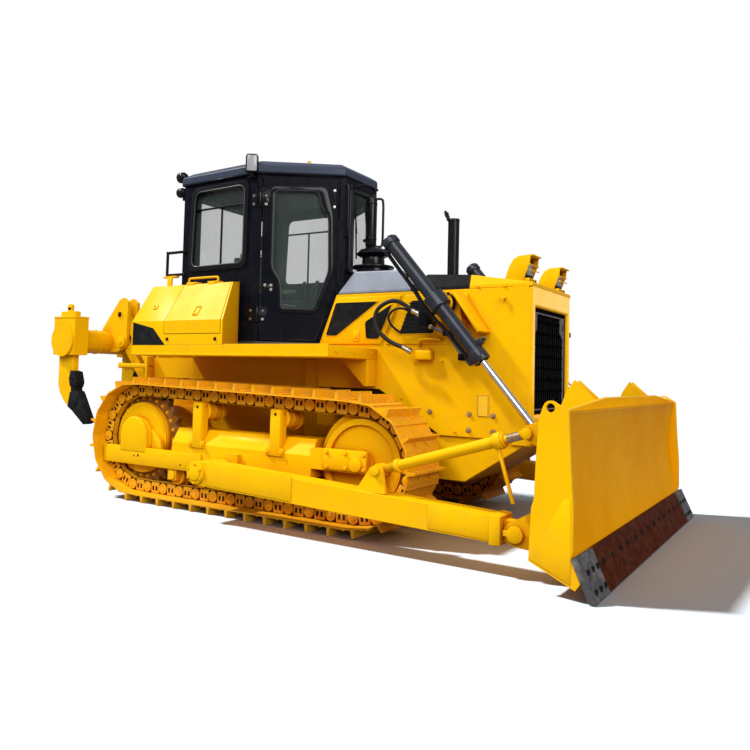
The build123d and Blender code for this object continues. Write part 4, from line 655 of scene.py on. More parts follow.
SHELLS = (
    ("hood", "hood_shell", 0.022),
    ("radiator_mask", "radiator_shell", 0.024),
    ("hood_rear", "hood_rear_shell", 0.02, matt_black),
    ("cowl", "cowl_shell", 0.014, cowl_grey),
    ("engine_side_panels", "engine_side_skins", 0.004),
    ("cab_roof", "roof_shell", 0.022, roof_paint),
    ("cab_side_panels", "cab_side_walls", 0.005, black_paint),
    ("cab_rear_panel", "cab_rear_wall", 0.005, black_paint),
    ("cab_front_panel", "cab_front_wall", 0.005, black_paint),
    ("door_right", "door_leaf_right", 0.005, black_paint, "door_right"),
    ("door_left", "door_leaf_left", 0.005, black_paint, "door_left"),
    ("tool_box_right", "tool_box_shell", 0.01),
    ("tank_left", "tank_shell", 0.01),
    ("platform", "platform_plates", 0.005),
    ("main_frame", "hull_plates", 0.006),
    ("mouldboard", "mouldboard_plate", 0.006, mouldboard_shaded_yellow, "blade"),
    ("blade_back", "blade_back_plates", 0.006, yellow_paint, "blade"),
    ("blade_brackets", "blade_ears", 0.006, yellow_paint, "blade"),
    ("push_arms", "push_arm_beams", 0.008, yellow_paint, "blade"),
    ("track_frame_right", "track_beam_right", 0.007),
    ("track_frame_left", "track_beam_left", 0.007),
    ("lift_yokes", "yoke_castings", 0.01),
    ("ripper_beam", "ripper_crossbeam", 0.008, yellow_paint, "ripper_beam"),
    ("ripper_shanks", "ripper_legs", 0.008, yellow_paint, "ripper_beam"),
    ("ripper_mount", "ripper_tower", 0.008),
)
for row in SHELLS:
    softened(*row)


# ------------------------------------------------------------------ tracks
# link pitch, the pins' radius on the sprocket and on the idler, and their height under them
PITCH, PIN_R, IDLER_R, PIN_LOW = 0.2032, 0.4405, 0.408, 0.127
SPROCKET, IDLER = (0.0, PIN_LOW + PIN_R), (2.43, PIN_LOW + IDLER_R)


def pin_line():
    """Pins round the sprocket and the idler, evenly spaced: their places in X and Z."""
    span, drop_z = hypot(IDLER[0] - SPROCKET[0], IDLER[1] - SPROCKET[1]), IDLER[1] - SPROCKET[1]
    tilt, half = atan2(drop_z, IDLER[0]), acos((PIN_R - IDLER_R) / span)
    straight = (span ** 2 - (PIN_R - IDLER_R) ** 2) ** 0.5
    legs = (straight, IDLER_R * 2 * half, straight, PIN_R * (2 * pi - 2 * half))
    total = sum(legs)

    def rim(centre, radius, angle):
        return (centre[0] + radius * cos(angle), centre[1] + radius * sin(angle))

    def point(s):
        s %= total
        if s < legs[0]:
            a, b, share = rim(SPROCKET, PIN_R, tilt - half), rim(IDLER, IDLER_R, tilt - half), s / legs[0]
            return (a[0] + (b[0] - a[0]) * share, a[1] + (b[1] - a[1]) * share)
        s -= legs[0]
        if s < legs[1]:
            return rim(IDLER, IDLER_R, tilt - half + s / IDLER_R)
        s -= legs[1]
        if s < legs[2]:
            a, b, share = rim(IDLER, IDLER_R, tilt + half), rim(SPROCKET, PIN_R, tilt + half), s / legs[2]
            return (a[0] + (b[0] - a[0]) * share, a[1] + (b[1] - a[1]) * share)
        return rim(SPROCKET, PIN_R, tilt + half + (s - legs[2]) / PIN_R)

    count = round(total / PITCH)
    return [point((i - 0.35) * total / count) for i in range(count)]


PINS = pin_line()
LINK_Y, LINK_HALF, SHOE = 0.94, 0.1075, 0.067  # chain's middle, half its width, pin line to shoe


def track_details():
    """Pin bosses, bolt pockets and raised cheeks on each link, bushings, and the shoes' lips and bolts."""
    deselect()
    boss = rod((MID, 0, 0), (MID, 0.018, 0), 0.047, 24, 0.005)
    pin = rod((MID, 0.016, 0), (MID, 0.023, 0), 0.02, 16, 0.003, 1)
    # under, a thin dark plate below each cheek, and pocket, dark blocks at the shoe bolts: painted shade for the gaps
    # between links and for the pockets
    under = slab((MID - 0.1016, 0.0, -0.052), (MID + 0.1016, 0.003, 0.052), 0.001, 1)
    cheek = slab((MID - 0.05, 0.0, -0.048), (MID + 0.05, 0.012, 0.05), 0.006)
    pocket = bevel(block((MID - 0.011, 0.011, -0.014), (MID + 0.011, 0.0135, 0.026)), 0.004, 2, 60)
    lip = slab((MID - 0.1, -0.252, 0.0), (MID - 0.088, 0.252, 0.0105), 0.003, 1)
    bush = bar((MID, -0.06, 0), (MID, 0.06, 0), 0.031, 16)
    head = hex_bolt(0.013, 0.01)
    faces, pockets = [], []
    for i, (x, z) in enumerate(PINS):
        nx, nz = PINS[(i + 1) % len(PINS)]
        length = hypot(nx - x, nz - z)
        tx, tz = (nx - x) / length, (nz - z) / length
        # local X along the link, local Z outwards from the loop
        frame_of = Matrix(((tx, 0, tz), (0, 1, 0), (tz, 0, -tx))).to_4x4()
        if frame_of.determinant() < 0:
            frame_of = Matrix(((-tx, 0, tz), (0, 1, 0), (-tz, 0, -tx))).to_4x4()
        middle = ((x + nx) / 2 - MID, LINK_Y, (z + nz) / 2)
        centre = Matrix.Translation(middle) @ frame_of
        for flip in (1, -1):
            face = Matrix.Translation((0, flip * LINK_HALF, 0)) @ Matrix.Scale(flip, 4, (0, 1, 0))
            where = Matrix.Translation((x - MID, LINK_Y, z)) @ face
            faces.append(copy_of(boss, where))
            faces.append(copy_of(pin, where))
            faces.append(copy_of(cheek, centre @ face))
            pockets.append(copy_of(under, centre @ face))
            pockets += [copy_of(pocket, centre @ Matrix.Translation((dx, 0, 0)) @ face) for dx in (-0.021, 0.021)]
        faces.append(copy_of(bush, Matrix.Translation((x - MID, LINK_Y, z))))
        faces.append(copy_of(lip, centre @ Matrix.Translation((0, 0, SHOE))))
        for bx in (0.035, 0.075):
            faces += [copy_of(head, centre @ Matrix.Translation((bx, by, SHOE))) for by in (-0.085, 0.085)]
    for shape in (boss, pin, cheek, under, pocket, lip, bush, head):
        drop(shape)
    for pieces, name, material in ((faces, "track_details", track_paint), (pockets, "link_pockets", painted_recess_shade)):
        left = join(pieces, f"{name}_left", material)
        settle(copy_of(left, ACROSS), f"{name}_right", material)


track_details()


# ------------------------------------------------------------------ undercarriage
DRIVE_Z = PIN_LOW + PIN_R


def arc_points(x, z, radius, first, last, steps):
    """Points round an arc in X and Z, angles in degrees."""
    angles = [radians(first + (last - first) * i / steps) for i in range(steps + 1)]
    return [(x + radius * cos(a), z + radius * sin(a)) for a in angles]


def undercarriage():
    """Right-hand drive cover and housing, beam covers, carrier rollers and idler parts, then the left-hand twins."""
    outer = -1.12  # the track beam's outer face
    painted, heads, holes = [], [], []
    # plain dished cover over the final drive, with the drive's bolts in the ring behind it
    disc = rod((0, -0.972, DRIVE_Z), (0, -1.02, DRIVE_Z), 0.328, 64, 0.012, 3)
    dome = rod((0, -1.018, DRIVE_Z), (0, -1.052, DRIVE_Z), 0.316, 64, 0.01, tip=0.232)
    painted += [disc, dome]
    for i in range(26):
        a = i * pi / 13
        heads.append(((0.362 * cos(a), -0.976, DRIVE_Z + 0.362 * sin(a)), (0, -1, 0)))
    # arched housing that carries the cover's outer bearing
    arch = [(-0.172, 0.44), (0.172, 0.44)] + arc_points(0, 0.592, 0.172, 0, 180, 20)
    arched = sheet(arch, -1.141, -1.04, 0.014, 3)
    web = sheet([(-0.15, 0.44), (0.33, 0.44), (0.3, 0.56), (0.18, 0.66), (-0.15, 0.7)], -1.085, -1.03, 0.01)
    painted += [arched, web]
    # recoil spring tube along the beam's shoulder
    for x0, x1, radius in ((0.62, 1.98, 0.125), (1.04, 1.52, 0.137)):
        painted.append(rod((x0, -0.965, 0.56), (x1, -0.965, 0.56), radius, 48, 0.012))
    # flat roller guard under the beam, with its bolts
    painted.append(sheet([(0.72, 0.3), (2.02, 0.3), (2.02, 0.4), (0.7, 0.4)], outer - 0.01, outer + 0.004, 0.004,
                         1))
    heads += [((x, outer - 0.01, 0.35), (0, -1, 0)) for x in (0.98, 1.48, 1.66, 1.84, 1.97)]
    # outer drive support plate, plain, with two small drilled holes
    painted.append(sheet([(-0.4, 0.325), (0.8, 0.325), (0.86, 0.4), (0.86, 0.487), (-0.4, 0.487)], -1.136, -1.116,
                         0.006))
    for x, z, radius in ((0.02, 0.405, 0.01), (0.075, 0.412, 0.014), (0.62, 0.372, 0.01)):
        holes.append(bar((x, -1.13, z), (x, -1.1372, z), radius, 24, radius * 0.8))
    # idler: hub and slide block
    inner_face = rod((2.43, -1.0, 0.535), (2.43, -1.03, 0.535), 0.295, 48, 0.01)
    slide = slab((2.13, -1.135, 0.478), (2.52, -1.1, 0.638), 0.012)
    boss = rod((2.43, -1.13, 0.535), (2.43, -1.152, 0.535), 0.055, 32, 0.006)
    painted += [inner_face, slide, boss]
    heads += [((x, -1.135, z), (0, -1, 0)) for x in (2.17, 2.34, 2.5) for z in (0.502, 0.612)]
    # carrier rollers turned like spools, and the posts that hold them
    for x, z in ((0.8, 0.8535), (1.66, 0.834)):
        post = slab((x - 0.052, -1.136, 0.54), (x + 0.052, -1.062, z + 0.075), 0.01)
        foot = slab((x - 0.085, -1.134, 0.535), (x + 0.085, -1.114, 0.6), 0.006, 1)
        painted += [post, foot]
        for y, radius, width in ((0.88, 0.1, 0.016), (0.965, 0.086, 0.02), (1.044, 0.086, 0.012)):
            painted.append(rod((x, -y, z), (x, -y - width, z), radius, 44, 0.005))
        holes.append(bar((x + 0.004, -1.13, z + 0.035), (x + 0.004, -1.1372, z + 0.035), 0.015, 24, 0.013))
        heads += [((x + dx, -1.134, 0.568), (0, -1, 0)) for dx in (-0.068, 0.068)]
    # roller end collars below the beam
    for i in range(6):
        x = 0.505 + i * 0.294
        painted.append(rod((x, -1.12, 0.272), (x, -1.132, 0.272), 0.04, 28, 0.004, 1))
    join(two_sided(painted), "undercarriage_covers")
    # the holes are dark discs standing on the plates: painted shade in place of their depth
    join(two_sided(holes), "undercarriage_holes", painted_recess_shade)
    left = [((p[0], -p[1], p[2]), (d[0], -d[1], d[2])) for p, d in heads]
    bolts("undercarriage_bolts", heads + left, 0.013, thick=0.011)


undercarriage()


# ------------------------------------------------------------------ outlines and strips
def loop_trim(name, points, radius, material, body="tractor"):
    """A rounded strip along a closed run of straight edges, mitred at its corners."""
    curve, line = line_curve(name, points, radius, 2)
    line.use_cyclic_u = True
    piece = as_mesh(name, curve)
    smooth_below(45)
    return settle(piece, name, material, body)


def rounded(outline, radius, steps=4):
    """The same convex outline with its corners cut to small arcs."""
    points = []
    count = len(outline)
    for i, (x, z) in enumerate(outline):
        corner = Vector((x, z))
        back = (Vector(outline[i - 1]) - corner).normalized() * radius
        ahead = (Vector(outline[(i + 1) % count]) - corner).normalized() * radius
        for step in range(steps + 1):
            t = step / steps
            spot = corner + back * (1 - t) ** 2 + ahead * t ** 2
            points.append((spot.x, spot.y))
    return points


# ------------------------------------------------------------------ engine bonnet
PANEL = 0.475  # half the width over the engine's side panels


def bonnet_sides():
    """Pressed doors, dark vents with raised rims, a hatch, a blank plate, bolts and a hook beside the engine."""
    raised, vents, rims, plates = [], [], [], []
    doors = (
        [(1.625, 1.462), (2.245, 1.462), (2.428, 1.868), (1.785, 1.868)],
        [(2.285, 1.462), (2.865, 1.462), (2.865, 1.868), (2.468, 1.868)],
    )
    raised += [sheet(outline, -PANEL - 0.01, -PANEL + 0.004, 0.007, 3) for outline in doors]
    vent_outlines = (
        [(1.672, 1.53), (1.79, 1.526), (2.235, 1.832), (1.778, 1.834)],
        [(2.092, 1.502), (2.222, 1.499), (2.356, 1.812), (2.076, 1.655)],
        [(2.404, 1.537), (2.74, 1.541), (2.684, 1.826), (2.52, 1.828)],
    )
    for outline in vent_outlines:
        shape = rounded(outline, 0.022)
        rim = sheet(rounded(outline, 0.026), -PANEL - 0.0135, -PANEL - 0.004, 0.004)
        middle = Vector((sum(p[0] for p in shape) / len(shape), sum(p[1] for p in shape) / len(shape)))
        inner = [tuple(middle + (Vector(p) - middle) * 0.93) for p in shape]
        vent = sheet(inner, -PANEL - 0.015, -PANEL - 0.006, 0.001, 1)
        rims.append(rim)
        vents.append(vent)
    # slats behind the rear vent's mesh
    for i in range(8):
        z = 1.572 + i * 0.032
        vents.append(slab((2.425 + i * 0.011, -PANEL - 0.0175, z), (2.715 - i * 0.0055, -PANEL - 0.013, z + 0.007),
                          0.002, 1))
    # small hatch with its pull, and the blank plate where a notice sits
    hatch = slab((1.965, -PANEL - 0.015, 1.486), (2.032, -PANEL - 0.006, 1.588), 0.004)
    pull = slab((1.984, -PANEL - 0.019, 1.512), (2.012, -PANEL - 0.013, 1.56), 0.003)
    raised += [hatch, pull]
    plates.append(slab((3.106, -PANEL - 0.0035, 0.91), (3.192, -PANEL + 0.002, 1.074), 0.001, 1))
    # hook, hose anchor and grab handle
    hook = slab((3.285, -PANEL - 0.03, 1.802), (3.322, -PANEL + 0.002, 1.822), 0.006)
    finger = rod((3.303, -PANEL - 0.026, 1.812), (3.303, -PANEL - 0.026, 1.78), 0.007, 16, 0.003)
    anchor = slab((2.585, -PANEL - 0.06, 1.335), (2.728, -PANEL + 0.002, 1.412), 0.012, 3)
    ledge = slab((2.56, -PANEL - 0.022, 1.398), (2.7, -PANEL + 0.002, 1.428), 0.006)
    raised += [hook, finger, anchor, ledge]
    join(two_sided(raised), "bonnet_doors")
    join(two_sided(rims), "bonnet_vent_rims")
    join(two_sided(vents), "bonnet_vents", matt_black)
    join(two_sided(plates), "bonnet_plates", pale_plate)
    for sign, label in SIDES:
        loop_trim(f"notice_border_{label}", [(x, sign * (PANEL + 0.0038), z) for x, z in
                                             ((3.108, 0.912), (3.19, 0.912), (3.19, 1.072), (3.108, 1.072))],
                  0.0016, moulded_plastic)
    hoses("bonnet_handle", [(2.605, PANEL, 1.448), (2.605, PANEL + 0.035, 1.47), (2.625, PANEL + 0.042, 1.5),
                            (2.7, PANEL + 0.042, 1.504), (2.785, PANEL + 0.042, 1.5), (2.8, PANEL + 0.03, 1.49),
                            (2.8, PANEL, 1.486)], 0.01)
    heads = ((2.702, 0.926), (3.038, 0.923), (3.231, 0.919), (3.034, 0.8), (3.231, 0.799))
    studs = ((3.093, 1.908), (3.31, 1.903), (2.8, 1.33), (2.56, 1.31), (2.92, 0.78), (2.45, 1.02))
    bolts("bonnet_bolts", both_sides(PANEL, heads), 0.015, aged_bolt, 0.012)
    bolts("bonnet_studs", both_sides(PANEL, studs), 0.009, thick=0.008)


bonnet_sides()


def radiator_front():
    """Honeycomb screen, its dark frame with corner plates, and the latches on its left-hand edge."""
    wires = []
    for lean in (-1, 1):
        first = bar((3.476, -0.43, 1.345 - lean * 0.745), (3.476, 0.43, 1.345 + lean * 0.745), 0.0036, 4)
        wires += [copy_of(first, Matrix.Translation((0, 0, i * 0.034))) for i in range(-42, 43)]
        drop(first)
    mesh = merged(wires)
    for point, normal in (((3.48, -0.392, 1), (0, -1, 0)), ((3.48, 0.392, 1), (0, 1, 0)),
                          ((3.48, 0, 0.955), (0, 0, -1)), ((3.48, 0, 1.73), (0, 0, 1))):
        slice_off(mesh, point, normal)
    settle(mesh, "grille_screen", matt_black)
    backing = slab((3.455, -0.4, 0.948), (3.466, 0.4, 1.738), 0.002, 1)
    join([backing], "grille_backing", matt_black)
    # frame strips and the corner plates with their dark slots
    frame_parts, slots = [], []
    frame_parts += [slab((3.484, y - 0.016, 0.952), (3.5, y + 0.016, 1.734), 0.004) for y in (-0.386, 0.386)]
    frame_parts += [slab((3.484, -0.38, z - 0.015), (3.5, 0.38, z + 0.015), 0.004) for z in (0.966, 1.718)]
    for sign in (-1, 1):
        corner = block((3.486, sign * 0.34 - 0.05, 1.52), (3.4985, sign * 0.34 + 0.05, 1.722))
        slice_off(corner, (3.49, sign * 0.39, 1.505), Vector((0, -sign * 0.62, -0.78)))
        bevel(corner, 0.003, 2)
        frame_parts.append(corner)
        slots.append(slab((3.498, sign * 0.352 - 0.01, 1.602), (3.5005, sign * 0.352 + 0.01, 1.668), 0.0012, 1))
    join(frame_parts, "grille_frame", grey_frame)
    for z in (1.01, 1.585):
        latch = slab((3.47, 0.47, z - 0.022), (3.526, 0.496, z + 0.022), 0.006)
        knob = rod((3.5, 0.49, z - 0.03), (3.5, 0.49, z + 0.03), 0.01, 18, 0.003)
        slots += [latch, knob]
    join(slots, "grille_latches", matt_black)


radiator_front()


def headlamps():
    """Curved guards with open fronts, rectangular lamps inside, and the bars across them."""
    guards, frames, lenses, gaps = [], [], [], []
    profile = [(3.29, 1.934), (3.432, 1.934), (3.44, 2.134), (3.4, 2.13), (3.362, 2.108), (3.332, 2.06),
               (3.306, 1.99)]
    cheek_shape = [(3.4, 1.934), (3.48, 1.934), (3.492, 2.07), (3.518, 2.137), (3.4, 2.129)]
    for y in (-0.36, 0.36):
        guards.append(sheet(profile, y - 0.095, y + 0.095, 0.01, 3))
        for sign in (-1, 1):
            guards.append(sheet(cheek_shape, y + sign * 0.0925 - 0.004, y + sign * 0.0925 + 0.004, 0.002))
        visor = sheet([(3.4, 2.118), (3.518, 2.126), (3.518, 2.137), (3.4, 2.131)], y - 0.094, y + 0.094, 0.003)
        sill = slab((3.425, y - 0.088, 1.934), (3.486, y + 0.088, 1.962), 0.004)
        guards += [visor, sill]
        guards += [bar((3.496, y - 0.1, z), (3.496, y + 0.1, z), 0.0045, 14) for z in (2.022, 2.062)]
        frames.append(slab((3.43, y - 0.084, 1.966), (3.458, y + 0.084, 2.104), 0.008))
        lenses.append(slab((3.45, y - 0.058, 1.988), (3.466, y + 0.058, 2.082), 0.007, 3))
        # dark slabs on the sill where its slots are: painted shade
        for step in (-0.055, 0.0, 0.055):
            gaps.append(slab((3.484, y + step - 0.012, 1.942), (3.4875, y + step + 0.012, 1.955), 0.0012, 1))
    guard = join(guards, "headlamp_guards")
    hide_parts("headlamps")
    join(frames, "headlamp_cases", matt_black)
    join(lenses, "headlamp_lenses", lamp_lens)
    join(gaps, "headlamp_slots", painted_recess_shade)


headlamps()


def corner_skins():
    """Smooth sheets over the seams between the radiator's surround and the side panels."""
    skin = slab((3.38, -PANEL - 0.0012, 0.712), (3.496, -PANEL + 0.01, 1.897), 0.001, 1)
    join(two_sided([skin]), "corner_skins")


corner_skins()


def pick_faces(piece, wanted):
    """Opens a piece in edit mode with only the wanted faces selected."""
    edit_all(piece)
    bpy.ops.mesh.select_mode(type="FACE")
    bpy.ops.mesh.select_all(action="DESELECT")
    object_mode()
    for face in piece.data.polygons:
        face.select = wanted(face)
    bpy.ops.object.mode_set(mode="EDIT")


def hollowed(piece, rim, depth):
    """Opens the upward end of a pipe: its top face is inset and pushed down inside."""
    top = max(v.co.z for v in piece.data.vertices)
    pick_faces(piece, lambda face: face.normal.z > 0.99 and abs(face.center.z - top) < 0.001)
    bpy.ops.mesh.inset(thickness=rim)
    bpy.ops.mesh.extrude_region_move(TRANSFORM_OT_translate={"value": (0, 0, -depth)})
    object_mode()


def bonnet_top():
    """Exhaust with its rain flap, the mushroom air cleaner, and the fillers."""
    pipe = bar((2.66, 0, 1.86), (2.66, 0, 2.566), 0.0485, 48)
    hollowed(pipe, 0.006, 0.14)
    lip = rod((2.66, 0, 2.54), (2.66, 0, 2.56), 0.0505, 48, 0.003)
    foot = rod((2.66, 0, 2.036), (2.66, 0, 2.068), 0.062, 48, 0.008, 3)
    flap = rod((2.592, 0, 2.604), (2.598, 0, 2.606), 0.048, 40, 0.002, 1)
    hinge = rod((2.61, -0.026, 2.562), (2.61, 0.026, 2.562), 0.009, 20, 0.002, 1)
    arm = slab((2.598, -0.007, 2.56), (2.608, 0.007, 2.632), 0.002, 1)
    stack = join([pipe, lip, foot, flap, hinge, arm], "exhaust_stack", satin_black)
    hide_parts("exhaust")

    # air cleaner: drum, flat plate, neck, and a wide brimmed cap
    px, py = 1.95, -0.15
    turned = []
    for z0, z1, r0, r1, width in (
        (2.09, 2.16, 0.15, 0.15, 0.006), (2.156, 2.176, 0.188, 0.188, 0.006), (2.172, 2.27, 0.104, 0.098, 0.008),
        (2.262, 2.286, 0.12, 0.16, 0.004), (2.284, 2.33, 0.16, 0.112, 0.014), (2.324, 2.347, 0.112, 0.06, 0.008),
    ):
        turned.append(rod((px, py, z0), (px, py, z1), r0, 56, width, 3, tip=r1))
    for i in range(3):
        x, y = px + 0.148 * cos(i * 2.1), py + 0.148 * sin(i * 2.1)
        turned.append(slab((x - 0.012, y - 0.012, 2.1), (x + 0.012, y + 0.012, 2.15), 0.003))
    cleaner = join(turned, "air_cleaner", satin_black)
    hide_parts("precleaner")

    caps = []
    for x, y, z, radius in ((3.26, 0.1, 1.965, 0.05), (2.2, 0.22, 2.095, 0.04)):
        cap = rod((x, y, z - 0.02), (x, y, z + 0.02), radius, 32, 0.006)
        grip = slab((x - radius * 0.9, y - 0.01, z + 0.014), (x + radius * 0.9, y + 0.01, z + 0.028), 0.004, 1)
        caps += [cap, grip]
    join(caps, "filler_caps", matt_black)


bonnet_top()


# ------------------------------------------------------------------ cab
# local X runs along the wall, local Y up, and local Z out of it
DOOR_WALL = Matrix(((0.8, 0, 0.6, 1.08 - MID), (0.6, 0, -0.8, -0.75), (0, 1, 0, 0), (0, 0, 0, 1)))
SIDE_WALL = Matrix(((0.9995, 0, -0.0316, -MID), (-0.0316, 0, -0.9995, -0.7159), (0, 1, 0, 0), (0, 0, 0, 1)))
FRONT_WALL = Matrix(((0, 0, 1, 1.72 - MID), (1, 0, 0, 0), (0, 1, 0, 0), (0, 0, 0, 1)))
REAR_WALL = Matrix(((0, 0, -1, 0.13 - MID), (-1, 0, 0, 0), (0, 1, 0, 0), (0, 0, 0, 1)))
UNSHIFT = Matrix.Translation((MID, 0, 0))


def off_wall(wall, points, out):
    """Places in the layout of points on a wall, a little way out of it."""
    spots = [wall @ Vector((x, y, out)) for x, y in points]
    return [(p.x + MID, p.y, p.z) for p in spots]


def grown(outline, distance):
    """A counter-clockwise outline moved outwards by a distance."""
    moved, count = [], len(outline)
    for i in range(count):
        here = Vector(outline[i])
        before = (here - Vector(outline[i - 1])).normalized()
        after = (Vector(outline[(i + 1) % count]) - here).normalized()
        first, second = Vector((before.y, -before.x)), Vector((after.y, -after.x))
        bisector = (first + second) / (1 + first.dot(second))
        moved.append(tuple(here + bisector * distance))
    return moved


def ring(name, outer, inner, low, depth, wall, material=yellow_paint, body="tractor"):
    """A flat ring with rounded corners inside and out, laid on a wall."""
    deselect()
    curve = bpy.data.curves.new(name, "CURVE")
    curve.dimensions = "2D"
    curve.fill_mode = "BOTH"
    edge = 0.003
    curve.bevel_depth, curve.bevel_resolution = edge, 1
    curve.offset, curve.extrude = -edge, depth / 2 - edge
    for points in (outer, inner):
        add_line(curve, [(x, y, 0) for x, y in points]).use_cyclic_u = True
    piece = as_mesh(name, curve)
    edit_all(piece)
    bpy.ops.mesh.remove_doubles(threshold=0.0001)
    bpy.ops.mesh.normals_make_consistent(inside=False)
    object_mode()
    smooth_below(35)
    piece.data.transform(wall @ Matrix.Translation((0, 0, low + depth / 2)))
    return settle(piece, name, material, body)


def on_wall(piece, wall):
    """Stands a piece modelled at the origin on a wall."""
    piece.data.transform(wall @ UNSHIFT)
    return piece


def cab_windows():
    """Thick rounded frames and seals round every pane, with the sliding panes' bars."""
    door_opening = [(0.142, 2.14), (0.222, 2.03), (0.235, 1.765), (0.54, 1.765), (0.672, 2.12), (0.66, 2.63),
                    (0.6, 2.87), (0.142, 2.86)]
    door_glass = [(0.142, 2.14), (0.222, 2.03), (0.235, 1.765), (0.54, 1.765), (0.672, 2.12), (0.66, 2.62),
                  (0.598, 2.7), (0.56, 2.866), (0.142, 2.86)]
    side = [(0.255, 2.18), (0.945, 2.18), (0.945, 2.925), (0.285, 2.925)]
    front = [(-0.215, 2.13), (0.215, 2.13), (0.215, 2.9), (-0.215, 2.9)]
    rear = [(-0.54, 2.12), (0.54, 2.12), (0.54, 2.9), (-0.54, 2.9)]
    rows = (
        ("door", door_opening, door_glass, 0.024, 0.01, 0.016, DOOR_WALL, "door_right", 0.05),
        ("side_window", side, side, 0.034, 0.01, 0.02, SIDE_WALL, "tractor", 0.075),
        ("front_window", front, front, 0.016, 0.006, 0.012, FRONT_WALL, "tractor", 0.03),
        ("rear_window", rear, rear, 0.034, 0.01, 0.016, REAR_WALL, "tractor", 0.075),
    )
    for name, opening, glass, wide, inset, depth, wall, body, corner in rows:
        outer = rounded(grown(opening, wide), corner + 0.01, 5)
        inner = rounded(grown(glass, -inset), corner, 5)
        both = name in ("door", "side_window")
        side_name = "_right" if both else ""
        frame_piece = ring(f"{name}_frame{side_name}", outer, inner, -0.004, depth, wall, satin_black, body)
        bead = rounded(grown(glass, -inset - 0.003), corner, 5)
        seal = loop_trim(f"{name}_seal{side_name}", off_wall(wall, bead, depth - 0.006), 0.0065, glazing_rubber,
                         body)
        if both:
            twin(frame_piece)
            twin(seal)
    # bars of the sliding panes
    hoses("side_window_rail", [(0.275, 0.7, 2.745), (0.945, 0.724, 2.745)], 0.01, black_paint, smooth=False)
    hoses("side_window_divider", [(0.61, 0.7, 2.19), (0.61, 0.7, 2.74)], 0.01, black_paint, smooth=False)


cab_windows()


def door_hardware():
    """Hinges with bright bolts, the lock plate, the stay's slot and the raised edge of each door."""
    def at_height(z):
        return DOOR_WALL @ Matrix.Translation((0, z, 0))

    leaves, post_leaves, spots, post_bright = [], [], [], []
    for z in (1.715, 2.755):
        leaf = on_wall(slab((0.044, -0.062, -0.008), (0.104, 0.062, 0.008), 0.003), at_height(z))
        barrel = rod((1.1104, -0.7472, z - 0.066), (1.1104, -0.7472, z + 0.066), 0.013, 24, 0.003)
        leaves += [leaf, barrel]
        post_leaves.append(slab((1.02, -0.7585, z - 0.062), (1.078, -0.74, z + 0.062), 0.003))
        spots += off_wall(DOOR_WALL, [(0.078, z - 0.038), (0.078, z + 0.038)], 0.008)
        post_bright += [((1.046, -0.7585, z + dz), (0, -1, 0)) for dz in (-0.038, 0.038)]
    lock = on_wall(slab((0.075, -0.032, -0.004), (0.16, 0.032, 0.008), 0.004), at_height(1.965))
    button = on_wall(slab((0.1, -0.012, 0.006), (0.128, 0.012, 0.014), 0.004), at_height(1.965))
    stay = on_wall(slab((0.688, 2.7, -0.002), (0.706, 2.88, 0.004), 0.0015, 1), DOOR_WALL)
    leaves += [lock, button, stay]
    spots += off_wall(DOOR_WALL, [(0.09, 1.985), (0.145, 1.985), (0.145, 1.945)], 0.008)
    spots += off_wall(DOOR_WALL, [(0.697, 2.715), (0.697, 2.865)], 0.003)
    bright = [(spot, (0.6, -0.8, 0)) for spot in spots]
    twin(join(leaves, "door_hardware_right", satin_black, "door_right"))
    twin(join(post_leaves, "hinge_leaves_right", satin_black))
    twin(bolts("door_bolts_right", bright, 0.0085, plated_steel, 0.006, "door_right"))
    twin(bolts("hinge_bolts_right", post_bright, 0.0085, plated_steel, 0.006))
    # raised edge round the leaf
    leaf = [(0.058, 1.5), (0.552, 1.5), (0.722, 1.966), (0.722, 2.98), (0.058, 2.98)]
    twin(loop_trim("door_rim_right", off_wall(DOOR_WALL, leaf, 0.001), 0.0045, satin_black, "door_right"))


door_hardware()


